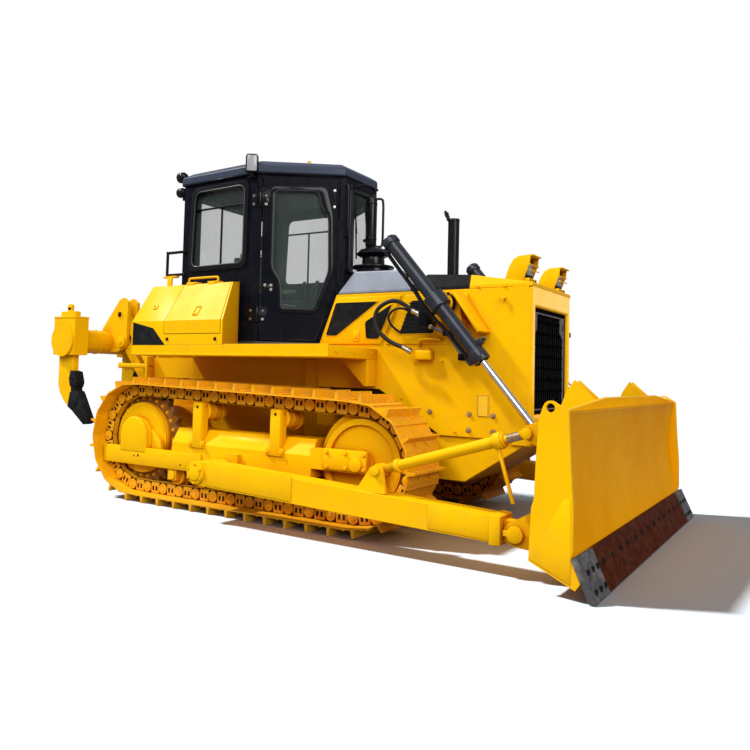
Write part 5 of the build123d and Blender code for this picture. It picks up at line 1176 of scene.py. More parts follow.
def cab_outside():
    """Gutter, lifting eyes, front grab loop, tall side tube, wiper and its hoses, and the rear rail's bracket."""
    eave = [(0.125, -0.742), (1.0875, -0.772), (1.722, -0.287), (1.722, 0.287), (1.0875, 0.772), (0.125, 0.742)]
    loop_trim("eaves_gutter", [(x, y, 2.998) for x, y in eave], 0.008, black_paint)
    eyes = []
    for x, y in ((0.3, 0.56), (1.36, 0.36)):
        for sign in (-1, 1):
            stem = slab((x - 0.022, sign * y - 0.006, 3.118), (x + 0.022, sign * y + 0.006, 3.146), 0.003, 1)
            deselect()
            bpy.ops.mesh.primitive_torus_add(major_radius=0.016, minor_radius=0.0065, major_segments=24,
                                             minor_segments=10,
                                             location=at((x, sign * y, 3.15)), rotation=(pi / 2, 0, 0))
            loop = bpy.context.object
            apply_place()
            bpy.ops.object.shade_smooth()
            eyes += [stem, loop]
    join(eyes, "lifting_eyes")

    # tall tube and the grab loop ahead of the front corners, in place of the plain mirror boxes
    tube = [rod((1.786, 0.07, 2.392), (1.786, 0.07, 2.88), 0.052, 40, 0.03, 5)]
    tube += [rod((1.786, 0.07, z), (1.786, 0.07, z + 0.016), 0.0545, 40, 0.003) for z in (2.47, 2.8)]
    tube = join(tube, "front_tube", satin_black)
    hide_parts("cab_mirrors")
    hose("front_tube_arm", [(1.716, -0.13, 2.93), (1.748, -0.08, 2.962), (1.8, 0.02, 2.966), (1.812, 0.09, 2.94),
                            (1.8, 0.085, 2.885), (1.788, 0.075, 2.86)], 0.013, satin_black)
    foot = slab((1.712, 0.045, 2.452), (1.76, 0.095, 2.478), 0.004)
    join([foot], "front_tube_foot", satin_black)
    hoses("front_grab", [(1.716, 0.262, 2.905), (1.76, 0.3, 2.915), (1.772, 0.312, 2.88), (1.772, 0.312, 2.68),
                         (1.772, 0.312, 2.47), (1.76, 0.3, 2.435), (1.716, 0.262, 2.445)], 0.012, satin_black)
    # wiper with its motor, and two washer hoses beside it
    arm = bar((1.742, -0.175, 2.915), (1.738, -0.105, 2.5), 0.006, 12)
    blade = bar((1.733, -0.125, 2.74), (1.733, -0.095, 2.27), 0.007, 12)
    motor = rod((1.712, -0.175, 2.915), (1.752, -0.175, 2.915), 0.019, 24, 0.004)
    join([arm, blade, motor], "front_wiper", matt_black)
    for i, y in enumerate((-0.205, -0.188)):
        hose(f"washer_hose_{i}", [(1.724, y, 2.94), (1.742, y + 0.004, 2.9), (1.736, y + 0.01, 2.72),
                                  (1.734, y - 0.004, 2.5),
                                  (1.738, y + 0.012, 2.26), (1.726, y + 0.02, 2.16)], 0.005, rubber)

    # bracket under the rear rail
    mounts = []
    for sign in (-1, 1):
        shelf = slab((-0.064, sign * 0.76 - 0.026, 2.098), (0.112, sign * 0.76 + 0.026, 2.114), 0.004)
        stem = slab((0.012, sign * 0.79 - 0.01, 1.99), (0.072, sign * 0.79 + 0.01, 2.104), 0.004)
        mounts += [shelf, stem]
    join(mounts, "rail_brackets")


cab_outside()


def work_lamps():
    """Square lamps at the door posts and round lamps at the cab's rear corners, each with case, rim and lens."""
    cases, lenses = [], []
    face = Matrix(((0.8, 0, 0.6, 1.04 - MID), (0.6, 0, -0.8, -0.795), (0, 1, 0, 3.08), (0, 0, 0, 1)))
    for low, high, width in (((-0.058, -0.086, -0.03), (0.058, 0.086, 0.028), 0.026),
                             ((-0.044, -0.068, -0.052), (0.044, 0.068, -0.026), 0.02)):
        case = slab(low, high, width, 4)
        cases.append(on_wall(case, face))
    glass = slab((-0.045, -0.072, 0.022), (0.045, 0.072, 0.0305), 0.004, 3)
    lenses.append(on_wall(glass, face))
    rim = rounded([(-0.05, -0.078), (0.05, -0.078), (0.05, 0.078), (-0.05, 0.078)], 0.022, 4)
    edge = loop_trim("front_lamp_rim", off_wall(face, rim, 0.027), 0.005, satin_black, None)
    stem = rod((1.035, -0.78, 2.955), (1.04, -0.792, 3.005), 0.016, 20, 0.003)
    plinth = slab((1.0, -0.805, 2.955), (1.07, -0.745, 2.968), 0.004)
    cases += [edge, stem, plinth]
    for x, y, z, radius in ((0.098, 0.7, 3.098, 0.052), (0.058, 0.66, 2.96, 0.048)):
        shell = rod((x, -y, z), (x - 0.056, -y, z), radius, 40, 0.01, 3)
        dome = rod((x + 0.004, -y, z), (x + 0.03, -y, z), radius * 0.92, 40, 0.008, 3, tip=radius * 0.5)
        lip = rod((x - 0.052, -y, z), (x - 0.068, -y, z), radius, 40, 0.003, tip=radius * 0.95)
        lens = rod((x - 0.06, -y, z), (x - 0.074, -y, z), radius * 0.8, 36, 0.004, tip=radius * 0.62)
        yoke = slab((x - 0.012, -y - 0.012, z - radius - 0.03), (x + 0.012, -y + 0.012, z - radius + 0.006), 0.003,
                    1)
        arm = slab((x - 0.01, -y - 0.01, z - radius - 0.034), (0.145, -y + 0.01, z - radius - 0.018), 0.003, 1)
        cases += [shell, dome, lip, yoke, arm]
        lenses.append(lens)
    lamp = join(two_sided(cases), "work_lamp_cases", satin_black)
    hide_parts("cab_lamps")
    join(two_sided(lenses), "work_lamp_lenses", lamp_lens)


work_lamps()


# ------------------------------------------------------------------ seat and what is inside the cab
SWELL_FRAMES, CHANNEL_WIDTH = 20, 0.009


def swollen(name, low, high, edge, voxel, cap, rest_z=None, rest_x=None, channels=()):
    """A cushion: a rounded block blown up as cloth, held to a small swell, flat where it rests, with channels."""
    piece = slab(low, high, edge, 4)
    middle = (Vector(at(low)) + Vector(at(high))) / 2
    thin = min(range(3), key=lambda k: abs(high[k] - low[k]))
    remesh = piece.modifiers.new("remesh", "REMESH")
    remesh.mode = "VOXEL"
    remesh.voxel_size = voxel
    bpy.ops.object.modifier_apply(modifier=remesh.name)
    start = [v.co.copy() for v in piece.data.vertices]
    cloth = piece.modifiers.new("filling", "CLOTH")
    cloth.settings.use_pressure = True
    cloth.settings.uniform_pressure_force = 4.0
    cloth.settings.effector_weights.gravity = 0.0
    cloth.settings.quality = 3
    cloth.collision_settings.use_collision = False
    for number in range(1, SWELL_FRAMES + 1):
        bpy.context.scene.frame_set(number)
    only(piece)
    bpy.ops.object.modifier_apply(modifier=cloth.name)
    bpy.context.scene.frame_set(1)
    for vertex, old in zip(piece.data.vertices, start):
        step = vertex.co - old
        if step.length > cap:
            vertex.co = old + step.normalized() * cap
        for axis, place, depth in channels:
            sink = depth * 2.718 ** -(((vertex.co[axis] - place) / CHANNEL_WIDTH) ** 2)
            vertex.co[thin] -= sink * (1 if vertex.co[thin] > middle[thin] else -1)
        if rest_z is not None:
            vertex.co.z = max(vertex.co.z, rest_z)
        if rest_x is not None:
            vertex.co.x = max(vertex.co.x, rest_x - MID)
    smooth = piece.modifiers.new("smooth", "SUBSURF")
    smooth.levels = smooth.render_levels = 1
    bpy.ops.object.modifier_apply(modifier=smooth.name)
    bpy.ops.object.shade_smooth()
    settle(piece, name, seat_cloth)
    return piece


def cab_inside():
    """Padded seat, armrests and headrest, levers, pedals, mats and the head lining."""
    base = swollen("seat_pad", (0.458, -0.23, 1.784), (0.872, 0.23, 1.882), 0.028, 0.007, 0.012, rest_z=1.7805,
                   channels=((1, -0.085, 0.006), (1, 0.085, 0.006)))
    back = swollen("seat_back_pad", (0.412, -0.23, 1.908), (0.486, 0.23, 2.412), 0.028, 0.007, 0.012,
                   rest_x=0.4055,
                   channels=((1, -0.085, 0.005), (1, 0.085, 0.005), (2, 2.1, 0.005)))
    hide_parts("seat_cushions")
    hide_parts("seat_cushions")
    swollen("head_rest", (0.432, -0.13, 2.466), (0.494, 0.13, 2.614), 0.024, 0.006, 0.008)
    rest = swollen("arm_rest_right", (0.428, -0.296, 2.026), (0.772, -0.236, 2.06), 0.014, 0.005, 0.006)
    other = twin(rest)
    # piping round the seat and its back
    y = 0.232
    loop_trim("seat_piping", [(0.462, -y, 1.868), (0.868, -y, 1.868), (0.868, y, 1.868), (0.462, y, 1.868)], 0.005,
              moulded_plastic)
    loop_trim("seat_back_piping", [(0.492, -y, 1.912), (0.492, y, 1.912), (0.492, y, 2.408), (0.492, -y, 2.408)],
              0.005, moulded_plastic)
    hard = [bar((0.45, y, 1.85), (0.45, y, 2.03), 0.014, 16) for y in (-0.265, 0.265)]
    hard += [bar((0.45, y, 2.38), (0.45, y, 2.47), 0.008, 12) for y in (-0.06, 0.06)]
    for x, y, lean in ((0.86, -0.39, 0.03), (0.92, 0.39, 0.03), (0.8, 0.42, -0.02)):
        hard.append(bar((x, y, 1.945), (x + lean, y, 2.1), 0.009, 12))
        hard.append(rod((x + lean, y, 2.1), (x + lean * 1.4, y, 2.165), 0.024, 20, 0.008, tip=0.018))
    for y in (-0.1, 0.1):
        pedal = slab((1.33, y - 0.045, 1.6), (1.345, y + 0.045, 1.74), 0.004, 1)
        hard += [pedal, bar((1.34, y, 1.66), (1.43, y, 1.66), 0.01, 12)]
    screen = slab((1.385, -0.13, 1.9), (1.4, 0.13, 1.99), 0.004)
    mat = slab((0.95, -0.3, 1.481), (1.38, 0.3, 1.49), 0.004, 1)
    lining = slab((0.22, -0.55, 2.975), (1.3, 0.55, 2.998), 0.01)
    hard += [screen, mat, lining]
    hard += [slab((0.475, y - 0.085, 1.949), (0.8, y + 0.085, 1.966), 0.008) for y in (-0.39, 0.39)]
    join(hard, "cab_inside_trim", moulded_plastic)


cab_inside()


# ------------------------------------------------------------------ platform and side boxes
# the boxes' slope: local X runs forward, local Y up the slope from the fold, local Z out of it
SLOPE = Matrix(((1, 0, 0, -MID), (0, 0.5655, -0.8247, -1.2), (0, 0.8247, 0.5655, 1.64), (0, 0, 0, 1)))


def side_boxes():
    """Flashes, caps, handles and the lid's recessed latch on the boxes, and the tank's filler on the left."""
    body = "tool_box_lid"
    # recessed latch on the lid's slope: frame, a dark gap of painted shade, tongue
    frame_out = rounded([(0.73, 0.045), (0.8, 0.045), (0.8, 0.155), (0.73, 0.155)], 0.008, 3)
    frame_in = rounded([(0.737, 0.052), (0.793, 0.052), (0.793, 0.148), (0.737, 0.148)], 0.006, 3)
    ring("lid_latch_frame", frame_out, frame_in, -0.002, 0.0075, SLOPE, yellow_paint, body)
    gap = slab((0.736, 0.051, -0.002), (0.794, 0.149, 0.0012), 0.001, 1)
    join([on_slope(gap)], "lid_latch_gap", painted_recess_shade, body)
    tongue = slab((0.743, 0.06, 0.0), (0.787, 0.14, 0.004), 0.003)
    join([on_slope(tongue)], "lid_latch_tongue", yellow_paint, body)
    # round caps on the fixed part, each with a key slot
    caps = [on_slope(rod((0.206, 0.165, -0.002), (0.206, 0.165, 0.012), 0.031, 36, 0.005, 3))]
    slots = [on_slope(rod((0.206, 0.165, 0.01), (0.206, 0.165, 0.0128), 0.01, 20, 0.001, 1))]
    # long handles over the boxes' top edge
    loop = ((0.415, 1.985), (0.415, 2.03), (0.418, 2.05), (0.436, 2.054), (0.6, 2.054), (0.756, 2.054),
            (0.774, 2.05),
            (0.777, 2.03), (0.777, 1.985))
    hoses("box_handle", [(x, 0.902, z) for x, z in loop], 0.011)
    caps += [rod((x, -0.902, 1.99), (x, -0.902, 2.006), 0.02, 20, 0.003, 1) for x in (0.415, 0.777)]
    join(two_sided(caps), "box_caps")
    join(two_sided(slots), "box_cap_slots", matt_black)
    # black flashes at the boxes' rear corners
    flash = plate([(0.015, 1.425), (0.437, 1.425), (0.28, 1.575), (0.015, 1.632)], -1.2025, -1.199)
    join(two_sided([flash]), "box_flashes", matt_black)
    # tank filler on the left-hand box
    neck = rod((0.55, 0.84, 1.99), (0.55, 0.84, 2.035), 0.048, 36, 0.006)
    cap = rod((0.55, 0.84, 2.03), (0.55, 0.84, 2.06), 0.054, 36, 0.01, 3)
    bridge = slab((0.51, 0.832, 2.056), (0.59, 0.848, 2.074), 0.005)
    join([neck, cap, bridge], "tank_filler", matt_black)
    # dark bolts on the boxes' faces, in the colour of the painted recess shade
    bolts("box_bolts", both_sides(1.2, ((0.465, 1.475), (1.04, 1.475))), 0.011, painted_recess_shade)


def on_slope(piece):
    """Stands a piece modelled at the origin on the right-hand box's slope."""
    piece.data.transform(SLOPE @ UNSHIFT)
    return piece


side_boxes()


def platform_trim():
    """Rolled edge, grip plates, steps and the gussets' bolts along the platforms."""
    painted, grips, heads = [], [], []
    for sign in (-1, 1):
        painted.append(slab((0.0, sign * 1.1985 - 0.004, 1.332), (2.2, sign * 1.1985 + 0.0045, 1.352), 0.003))
        painted.append(slab((1.14, sign * 1.186 - 0.014, 1.422), (2.19, sign * 1.186 + 0.014, 1.432), 0.003))
        painted.append(slab((2.188, sign * 0.84 - 0.34, 1.334), (2.204, sign * 0.84 + 0.34, 1.424), 0.004))
        grips.append(block((1.2, sign * 0.98 - 0.18, 1.4245), (2.15, sign * 0.98 + 0.18, 1.428)))
        heads += [((2.204, sign * y, 1.38), (1, 0, 0)) for y in (0.58, 0.84, 1.1)]
    first = slab((1.215, -1.15, 1.4275), (1.245, -1.142, 1.4315), 0.0012, 1)
    for i in range(28):
        for j in range(10):
            tilt = 1 if (i + j) % 2 else -1
            spot = Vector((1.23 - MID, -1.146, 1.4295))
            matrix = Matrix.Translation((i * 0.033, j * 0.036, 0)) @ Matrix.Translation(spot) @ Matrix.Rotation(
                radians(35 * tilt), 4, "Z") @ Matrix.Translation(-spot)
            grips.append(copy_of(first, matrix))
            if i % 2 == j % 2:
                grips.append(copy_of(grips[-1], ACROSS))
    drop(first)
    join(grips, "platform_grip", matt_black)
    join(painted, "platform_edges")
    bolts("platform_bolts", heads, 0.011)


platform_trim()


# ------------------------------------------------------------------ blade and arms
def blade_trim():
    """Arm bosses and plates, pin heads, square bolts, doublers and the bar along the blade's top."""
    painted, dark = [], []
    # arm's rear boss with its bolted cap
    boss = rod((1.15, -1.47, 0.385), (1.15, -1.5, 0.385), 0.09, 44, 0.01)
    cap = rod((1.15, -1.498, 0.385), (1.15, -1.512, 0.385), 0.058, 36, 0.005)
    painted += [boss, cap]
    round_cap = [(1.15 + 0.072 * cos(a), 0.385 + 0.072 * sin(a)) for a in [pi / 6 + i * pi / 3 for i in range(6)]]
    # arm's strengthening plates
    for outline in ([(1.26, 0.3), (2.1, 0.27), (2.1, 0.47), (1.26, 0.478)],
                    [(3.2, 0.232), (3.655, 0.212), (3.655, 0.362), (3.2, 0.388)]):
        painted.append(sheet(outline, -1.486, -1.478, 0.003))
    painted.append(sheet([(3.615, 0.188), (3.69, 0.19), (3.69, 0.368), (3.615, 0.375)], -1.496, -1.274, 0.01))
    # pin heads on the blade's ears
    for x, z, y, radius in ((3.78, 0.272, 1.475, 0.052), (3.88, 0.885, 1.58, 0.034)):
        pin = rod((x, -y, z), (x, -y - 0.024, z), radius, 32, 0.006)
        keeper = slab((x - radius * 1.5, -y - 0.01, z - radius * 0.35), (x, -y, z + radius * 0.35), 0.003, 1)
        painted += [pin, keeper]
    painted.append(rod((2.79, -1.456, 0.555), (2.79, -1.476, 0.555), 0.032, 28, 0.004))
    # end bit's square bolt heads
    for dx, z in ((0.034, 0.15), (0.079, 0.05)):
        for y in (1.4, 1.5, 1.6):
            dark.append(slab((4.196 + dx, -y - 0.016, z - 0.016), (4.21 + dx, -y + 0.016, z + 0.016), 0.002, 1))
    dark = two_sided(dark)
    # the cutting edge's row of bolts
    for i in range(13):
        y = -1.26 + i * 0.21
        dark.append(slab((4.23, y - 0.017, 0.133), (4.244, y + 0.017, 0.167), 0.002, 1))
    join(two_sided(painted), "blade_plates", body="blade")
    join(dark, "edge_bolts", matt_black, "blade")
    # the end plates' shell drawn in a little, so the welded doublers stand proud of it
    inner, share = 1.68, 0.7
    for vertex in bpy.data.objects["blade_back_plates"].data.vertices:
        over = abs(vertex.co.y) - inner
        if over > 0:
            vertex.co.y = (inner + over * share) * (1 if vertex.co.y > 0 else -1)
    doubler = sheet([(3.935, 0.196), (4.165, 0.09), (4.168, 0.225), (4.166, 0.548), (4.128, 0.548)], -1.6938,
                    -1.686, 0.003)
    join(two_sided([doubler]), "end_plate_doublers", body="blade")
    bolts("arm_bolts", both_sides(1.5, round_cap), 0.011, body="blade")
    # stiffening bar along the spill guard's top
    corners = [(4.128, -1.64, 1.03), (4.128, -0.82, 1.088), (4.128, 0.82, 1.088), (4.128, 1.64, 1.03)]
    join([bar(a, b, 0.012, 16) for a, b in zip(corners, corners[1:])], "spill_bead", body="blade")


blade_trim()


def braces():
    """The screw brace's collar, lock handle and thread, and the tilt cylinder's gland and pipes."""
    rear, front_end = Vector((2.79, -1.385, 0.555)), Vector((3.88, -1.52, 0.885))

    def on_brace(share, side_of=1):
        p = rear + (front_end - rear) * share
        return (p.x, p.y * side_of, p.z)

    painted = []
    for a, b, radius in ((0.79, 0.838, 0.054), (0.12, 0.15, 0.046), (0.838, 0.85, 0.046)):
        painted.append(rod(on_brace(a), on_brace(b), radius, 36, 0.006))
    painted.append(slab((3.655, -1.515, 0.77), (3.685, -1.475, 0.835), 0.006))
    painted.append(rod((3.672, -1.507, 0.8), (3.775, -1.507, 0.458), 0.012, 20, 0.003))
    join(painted, "brace_collar", body="blade")
    thread = [bar(on_brace(0.868 + i * 0.006), on_brace(0.871 + i * 0.006), 0.0275, 20) for i in range(14)]
    join(thread, "brace_thread", plated_steel, "blade")
    cylinder = []
    for a, b, radius in ((0.12, 0.155, 0.066), (0.675, 0.735, 0.07), (0.4, 0.42, 0.062)):
        cylinder.append(rod(on_brace(a, -1), on_brace(b, -1), radius, 40, 0.005))
    join(cylinder, "tilt_cylinder_bands", black_paint, "blade")
    clips = ((0.16, 0.685), (0.3, 0.735), (0.55, 0.815), (0.7, 0.862))
    hose("tilt_pipe", [on_brace(share, -1)[:2] + (z,) for share, z in clips], 0.01, plated_steel, "blade")


braces()


# ------------------------------------------------------------------ lift cylinders
# a cylinder's trunnion and rod eye, seen from the side, and its distance from the middle
TRUNNION = Vector((2.905, 0, 1.764))
EYE = Vector((3.81, 0, 0.69))
LIFT_DIR = (EYE - TRUNNION).normalized()
LIFT_Y = 0.8


def on_lift(distance, sign, out=0.0, forward=0.0):
    """A point beside a lift cylinder: along it from the trunnion, out across the machine, and forward of its axis."""
    p = TRUNNION + LIFT_DIR * distance
    return (p.x - LIFT_DIR.z * forward, sign * (LIFT_Y + out), p.z + LIFT_DIR.x * forward)


def sleeve(start, end, radius, hole, width):
    """A rounded band round a barrel, open in the middle where the rod runs."""
    piece = rod(start, end, radius, 44, width)
    way = (Vector(at(end)) - Vector(at(start))).normalized()
    pick_faces(piece, lambda face: abs(face.normal.dot(way)) > 0.999 and len(face.vertices) > 8)
    bpy.ops.mesh.inset(thickness=radius - width - hole, use_individual=True)
    bpy.ops.mesh.delete(type="FACE")
    object_mode()
    return piece


def lift_cylinders():
    """Bands, ports and pipes on the barrels, yoke bearings and brackets, and the hose work."""
    black = []
    for sign, label in SIDES:
        for a, b, radius in ((-0.655, -0.6, 0.066), (-0.06, 0.06, 0.079), (0.48, 0.575, 0.066)):
            black.append(sleeve(on_lift(a, sign), on_lift(b, sign), radius, 0.052, 0.006))
        black.append(rod(on_lift(-0.652, sign), on_lift(-0.672, sign), 0.062, 40, 0.006, tip=0.048))
        # ports: top rear, bottom rear and bottom front, with a clamp half-way along
        for a, forward, size in ((-0.6, -0.066, 0.05), (0.52, -0.07, 0.056), (0.455, 0.072, 0.05),
                                 (-0.33, -0.066, 0.034)):
            port = slab((-size / 2, -size / 2, -size / 2), (size / 2, size / 2, size / 2), size * 0.16)
            centre = Vector(at(on_lift(a, sign, 0.0, forward)))
            turn = Matrix.Rotation(atan2(-LIFT_DIR.z, LIFT_DIR.x), 4, "Y")
            port.data.transform(Matrix.Translation(centre) @ turn @ UNSHIFT)
            black.append(port)
        black.append(rod(on_lift(0.455, sign, 0.0, 0.09), on_lift(0.455, sign, 0.0, 0.122), 0.016, 6, 0.003, 1))
        for i, dy in enumerate((-0.02, 0.02)):
            hose(f"lift_pipe_{label}_{i}",
                 [on_lift(a, sign, dy, forward) for a, forward in (
                     (-0.6, -0.074), (-0.5, -0.082), (-0.2, -0.082), (-0.08, -0.098), (0.08, -0.098), (0.2, -0.08),
                     (0.4, -0.074), (0.52, -0.074))],
                 0.0095, black_paint, "lift_barrels")
    join(black, "lift_barrel_fittings", barrel_paint, "lift_barrels")
    # bearings, brackets and hose work stay on the tractor
    bearings = [rod((2.905, -0.64, 1.764), (2.905, -0.694, 1.764), 0.084, 44, 0.008)]
    for x, z in ((2.862, 1.838), (2.948, 1.838), (2.862, 1.69), (2.948, 1.69)):
        bearings.append(rod((x, -0.69, z), (x, -0.706, z), 0.011, 6, 0.002, 1))
    base = slab((2.8, -0.51, 1.62), (3.02, -0.474, 1.86), 0.01)
    web = sheet([(2.965, 1.85), (2.99, 1.858), (3.205, 1.552), (3.18, 1.538)], -0.69, -0.476, 0.006)
    join(two_sided(bearings), "yoke_bearings", black_paint)
    join(two_sided([base, web]), "yoke_brackets")
    corners = [(x, z) for x in (2.825, 2.995) for z in (1.65, 1.83)]
    bolts("yoke_bolts", both_sides(0.51, corners), 0.013, thick=0.011)
    body = slab((2.665, -0.64, 1.59), (2.745, -0.476, 1.715), 0.008)
    valve = rod((2.705, -0.56, 1.7), (2.705, -0.56, 1.76), 0.024, 28, 0.005)
    elbow = slab((3.01, -0.65, 1.33), (3.062, -0.56, 1.384), 0.008)
    clamp = slab((2.868, -0.625, 1.52), (2.908, -0.476, 1.562), 0.006)
    bracket = slab((3.02, -0.6, 1.34), (3.052, -0.476, 1.374), 0.005)
    join(two_sided([body, valve, elbow, clamp, bracket]), "hose_blocks", black_paint)
    # hexagons and ferrules where the hoses start and end
    fittings = [rod((x0, -0.6, z0), (x1, -0.6, z1), radius, sides, 0.003, 1) for x0, z0, x1, z1, radius, sides in (
        (2.668, 1.684, 2.634, 1.702, 0.025, 6), (2.64, 1.699, 2.59, 1.726, 0.0205, 24),
        (2.592, 1.392, 2.556, 1.412, 0.025, 6), (2.562, 1.409, 2.51, 1.434, 0.0205, 24),
        (2.742, 1.6, 2.768, 1.59, 0.02, 6),
    )]
    join(two_sided(fittings), "hose_fittings", plated_steel)
    y = 0.6
    hoses("lift_hose", [(2.6, y, 1.72), (2.5, y, 1.795), (2.4, y * 1.03, 1.815), (2.275, y * 1.05, 1.745),
                        (2.262, y * 1.05, 1.61), (2.345, y * 1.03, 1.51), (2.44, y, 1.455), (2.525, y, 1.428)],
          0.0175, rubber)
    hoses("lift_hose_inner", [(2.665, y * 0.93, 1.655), (2.56, y * 0.93, 1.725), (2.44, y * 0.94, 1.762),
                              (2.345, y * 0.94, 1.7), (2.36, y * 0.9, 1.61), (2.43, y * 0.84, 1.56)], 0.01, rubber)
    hoses("lift_feed", [(2.745, y, 1.598), (2.8, y, 1.575), (2.88, y, 1.548), (2.925, y, 1.515), (2.965, y, 1.45),
                        (3.03, y, 1.365)], 0.013, grey_frame)


lift_cylinders()


# ------------------------------------------------------------------ ripper
def ripper_trim():
    """Pin heads, bands, loops and tips on the ripper, bands on its cylinders, and the tow hitches."""
    mount, beam, tips, hollows = [], [], [], []
    low_front, low_rear = (-0.633, 0.918), (-1.106, 1.5)
    up_rear = (-1.15, 1.8)
    up_front = (up_rear[0] + low_front[0] - low_rear[0], up_rear[1] + low_front[1] - low_rear[1])
    face = 0.3 + 0.045 + 0.04  # the links' outer face

    def pin_ends(place, sign, start, end):
        return [(place[0], sign * (face + out), place[1]) for out in (start, end)]

    for sign in (-1, 1):
        mount += [rod(*pin_ends(place, sign, 0, 0.02), 0.05, 32, 0.005) for place in (low_front, up_front)]
        beam.append(rod(*pin_ends(up_rear, sign, 0, 0.004), 0.05, 32, 0.002, 1))
        # dark disc in the pin's end: painted shade in its hollow
        hollows.append(bar(*pin_ends(up_rear, sign, 0.001, 0.0052), 0.034, 28, 0.03))
        beam.append(rod(*pin_ends(low_rear, sign, 0, 0.022), 0.066, 36, 0.006))
        beam.append(rod(*pin_ends(low_rear, sign, 0.02, 0.03), 0.066 * 0.45, 6, 0.003, 1))
        # bands at the beam's ends
        for y, radius in ((0.52, 0.133), (0.76, 0.133), (0.935, 0.174)):
            beam.append(rod((-1.38, sign * (y - 0.01), 1.49), (-1.38, sign * (y + 0.01), 1.49), radius, 48, 0.005))
        beam.append(bar((-1.38, sign * 0.95, 1.49), (-1.38, sign * 0.9549, 1.49), 0.15, 48, 0.12))
    for y in (-0.85, 0.0, 0.85):
        band = slab((-1.544, y - 0.09, 1.722), (-1.186, y + 0.09, 1.742), 0.006)
        loop = rod((-1.385, y - 0.018, 1.845), (-1.385, y + 0.018, 1.845), 0.036, 28, 0.004)
        neck = slab((-1.42, y - 0.018, 1.79), (-1.35, y + 0.018, 1.845), 0.004, 1)
        beam += [band, loop, neck]
        half = 0.037 + 0.018  # half a shank and the tip's cheek
        for outline, wide in (
            ([(-1.3, 1.092), (-1.276, 1.173), (-1.208, 1.16), (-1.172, 1.05), (-1.19, 0.995), (-1.282, 1.01)],
             half),
            ([(-1.278, 1.02), (-1.196, 1.02), (-1.186, 0.94), (-1.262, 0.93)], half - 0.008),
            ([(-1.272, 0.948), (-1.17, 0.96), (-1.128, 0.905), (-1.15, 0.8), (-1.23, 0.752), (-1.306, 0.792)],
             half),
            ([(-1.246, 0.775), (-1.14, 0.905), (-1.118, 0.894), (-0.962, 0.641), (-1.04, 0.617), (-1.225, 0.745)],
             half - 0.004),
        ):
            tips.append(sheet(outline, y - wide, y + wide, 0.007))
        for x, z, radius in ((-1.225, 1.09, 0.02), (-1.185, 0.85, 0.024)):
            tips.append(rod((x, y - half - 0.004, z), (x, y + half + 0.004, z), radius, 24, 0.003, 1))
    join(mount, "ripper_mount_pins")
    join(hollows, "ripper_pin_hollows", painted_recess_shade, "ripper_beam")
    join(beam, "ripper_beam_details", body="ripper_beam")
    points = join(tips, "ripper_points", matt_black, "ripper_beam")
    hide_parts("ripper_teeth")
    # cylinders: bands and pipes
    share = 0.45  # where the cylinder's pin sits along the lower link
    top = Vector((-0.6, 0, 1.9))
    pin = Vector((low_front[0] + share * (low_rear[0] - low_front[0]), 0,
                  low_front[1] + share * (low_rear[1] - low_front[1])))
    way = (pin - top).normalized()
    length = (pin - top).length
    bands = []
    for sign in (-1, 1):
        for a, b, radius in ((0.045, 0.085, 0.059), (length - 0.15, length - 0.088, 0.06)):
            p, q = top + way * a, top + way * b
            bands.append(rod((p.x, sign * 0.13, p.z), (q.x, sign * 0.13, q.z), radius, 40, 0.005))
        p, q = top + way * 0.12, top + way * (length - 0.13)
        off = Vector((way.z, 0, -way.x)) * 0.066
        bands.append(bar((p.x - off.x, sign * 0.13, p.z - off.z), (q.x - off.x, sign * 0.13, q.z - off.z), 0.01,
                         16))
    join(bands, "ripper_barrel_bands", barrel_paint, "ripper_barrels")
    # tow bar behind the hull
    hitch = slab((-1.0, -0.505, 1.215), (-0.535, -0.43, 1.262), 0.012, 3)
    upright = slab((-0.565, -0.52, 1.05), (-0.535, -0.415, 1.34), 0.008)
    tip = rod((-0.985, -0.4675, 1.208), (-0.985, -0.4675, 1.27), 0.04, 32, 0.006)
    join(two_sided([hitch, upright, tip]), "tow_hitches")
    heads = [((-0.541, sign * y, z), (-1, 0, 0)) for sign in (-1, 1) for y in (0.1, 0.2) for z in (1.05, 1.28)]
    bolts("ripper_mount_bolts", heads, 0.014, thick=0.012)


ripper_trim()


# ------------------------------------------------------------------ studio
def choose(tree, share, first, second, target):
    """Links a mix of two shaders to a socket."""
    mix = add(tree, "ShaderNodeMixShader")
    for source, socket in ((share, mix.inputs[0]), (first.outputs[0], mix.inputs[1]),
                           (second.outputs[0], mix.inputs[2]),
                           (mix.outputs[0], target)):
        tree.links.new(source, socket)


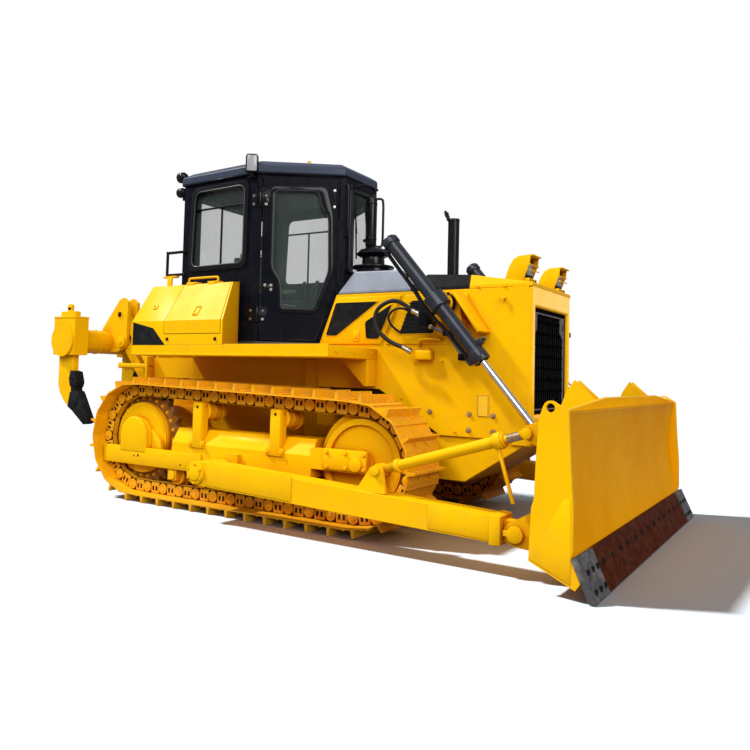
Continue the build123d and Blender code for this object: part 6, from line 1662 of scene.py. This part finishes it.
def studio():
    """White ground, soft surrounding light, a key light with one shadow, and fills that shape the machine."""
    deselect()
    bpy.ops.mesh.primitive_plane_add(size=60, location=(0, 0, 0))
    floor = bpy.context.object
    floor.name = "studio_floor"
    made = bpy.data.materials.new("studio_floor")
    made.use_nodes = True
    tree = made.node_tree
    tree.nodes.remove(tree.nodes["Principled BSDF"])
    # pale to the machine's own light, white to the camera outside the shadow
    pale = add(tree, "ShaderNodeBsdfDiffuse")
    pale.inputs["Color"].default_value = (0.31, 0.31, 0.32, 1)
    bright = add(tree, "ShaderNodeBsdfDiffuse")
    bright.inputs["Color"].default_value = (1.06, 1.16, 1.24, 1)
    sees = add(tree, "ShaderNodeLightPath").outputs["Is Camera Ray"]
    choose(tree, sees, pale, bright, tree.nodes["Material Output"].inputs["Surface"])
    floor.data.materials.append(made)

    world = bpy.data.worlds.new("studio_world")
    bpy.context.scene.world = world
    world.use_nodes = True
    tree = world.node_tree
    tree.nodes.clear()
    # soft blue-grey light, and plain white behind the machine
    soft, white = add(tree, "ShaderNodeBackground"), add(tree, "ShaderNodeBackground")
    for sky, colour, strength in ((soft, (0.8, 0.82, 0.88, 1), 0.23), (white, (1, 1, 1, 1), 1.0)):
        sky.inputs["Color"].default_value = colour
        sky.inputs["Strength"].default_value = strength
    ray = add(tree, "ShaderNodeLightPath")
    glossy = maths(tree, "MULTIPLY", ray.outputs["Is Glossy Ray"], 0.2)
    seen = maths(tree, "MAXIMUM", ray.outputs["Is Camera Ray"], ray.outputs["Is Transmission Ray"])
    seen = maths(tree, "MAXIMUM", seen, glossy)
    choose(tree, seen, soft, white, add(tree, "ShaderNodeOutputWorld").inputs[0])

    no_floor = bpy.data.collections.new("lit_by_fills")
    no_floor.objects.link(floor)
    no_floor.collection_objects[0].light_linking.link_state = "EXCLUDE"
    mask_only = bpy.data.collections.new("lit_by_sheen")
    mask_only.objects.link(bpy.data.objects["radiator_shell"])
    for name, energy, spread, place, target in (
        ("key_light", 3.2, 0.07, (-6.5, -3.0, 9.5), (0, 0, 1)),
        ("side_fill", 1.62, 0.7, (1.0, -7.5, 7.5), (0, 0, 1)),
        ("front_fill", 1.8, 0.6, (9.0, -5.0, 5.0), (1, 0, 1)),
        ("front_sheen", 2.4, 1.2, (8.0, 8.0, 4.0), (1, 0, 1)),
    ):
        lamp = bpy.data.lights.new(name, "SUN")
        lamp.energy, lamp.angle = energy, spread
        holder = bpy.data.objects.new(name, lamp)
        bpy.context.collection.objects.link(holder)
        holder.location = place
        holder.rotation_euler = (Vector(target) - Vector(place)).to_track_quat("-Z", "Y").to_euler()
        if name == "front_sheen":
            # a soft gleam across the radiator's surround
            holder.light_linking.receiver_collection = mask_only
        elif name != "key_light":
            # the fills shape the machine only, so the floor keeps the key light's one shadow
            holder.light_linking.receiver_collection = no_floor


studio()
bpy.context.scene.view_settings.view_transform = "Standard"
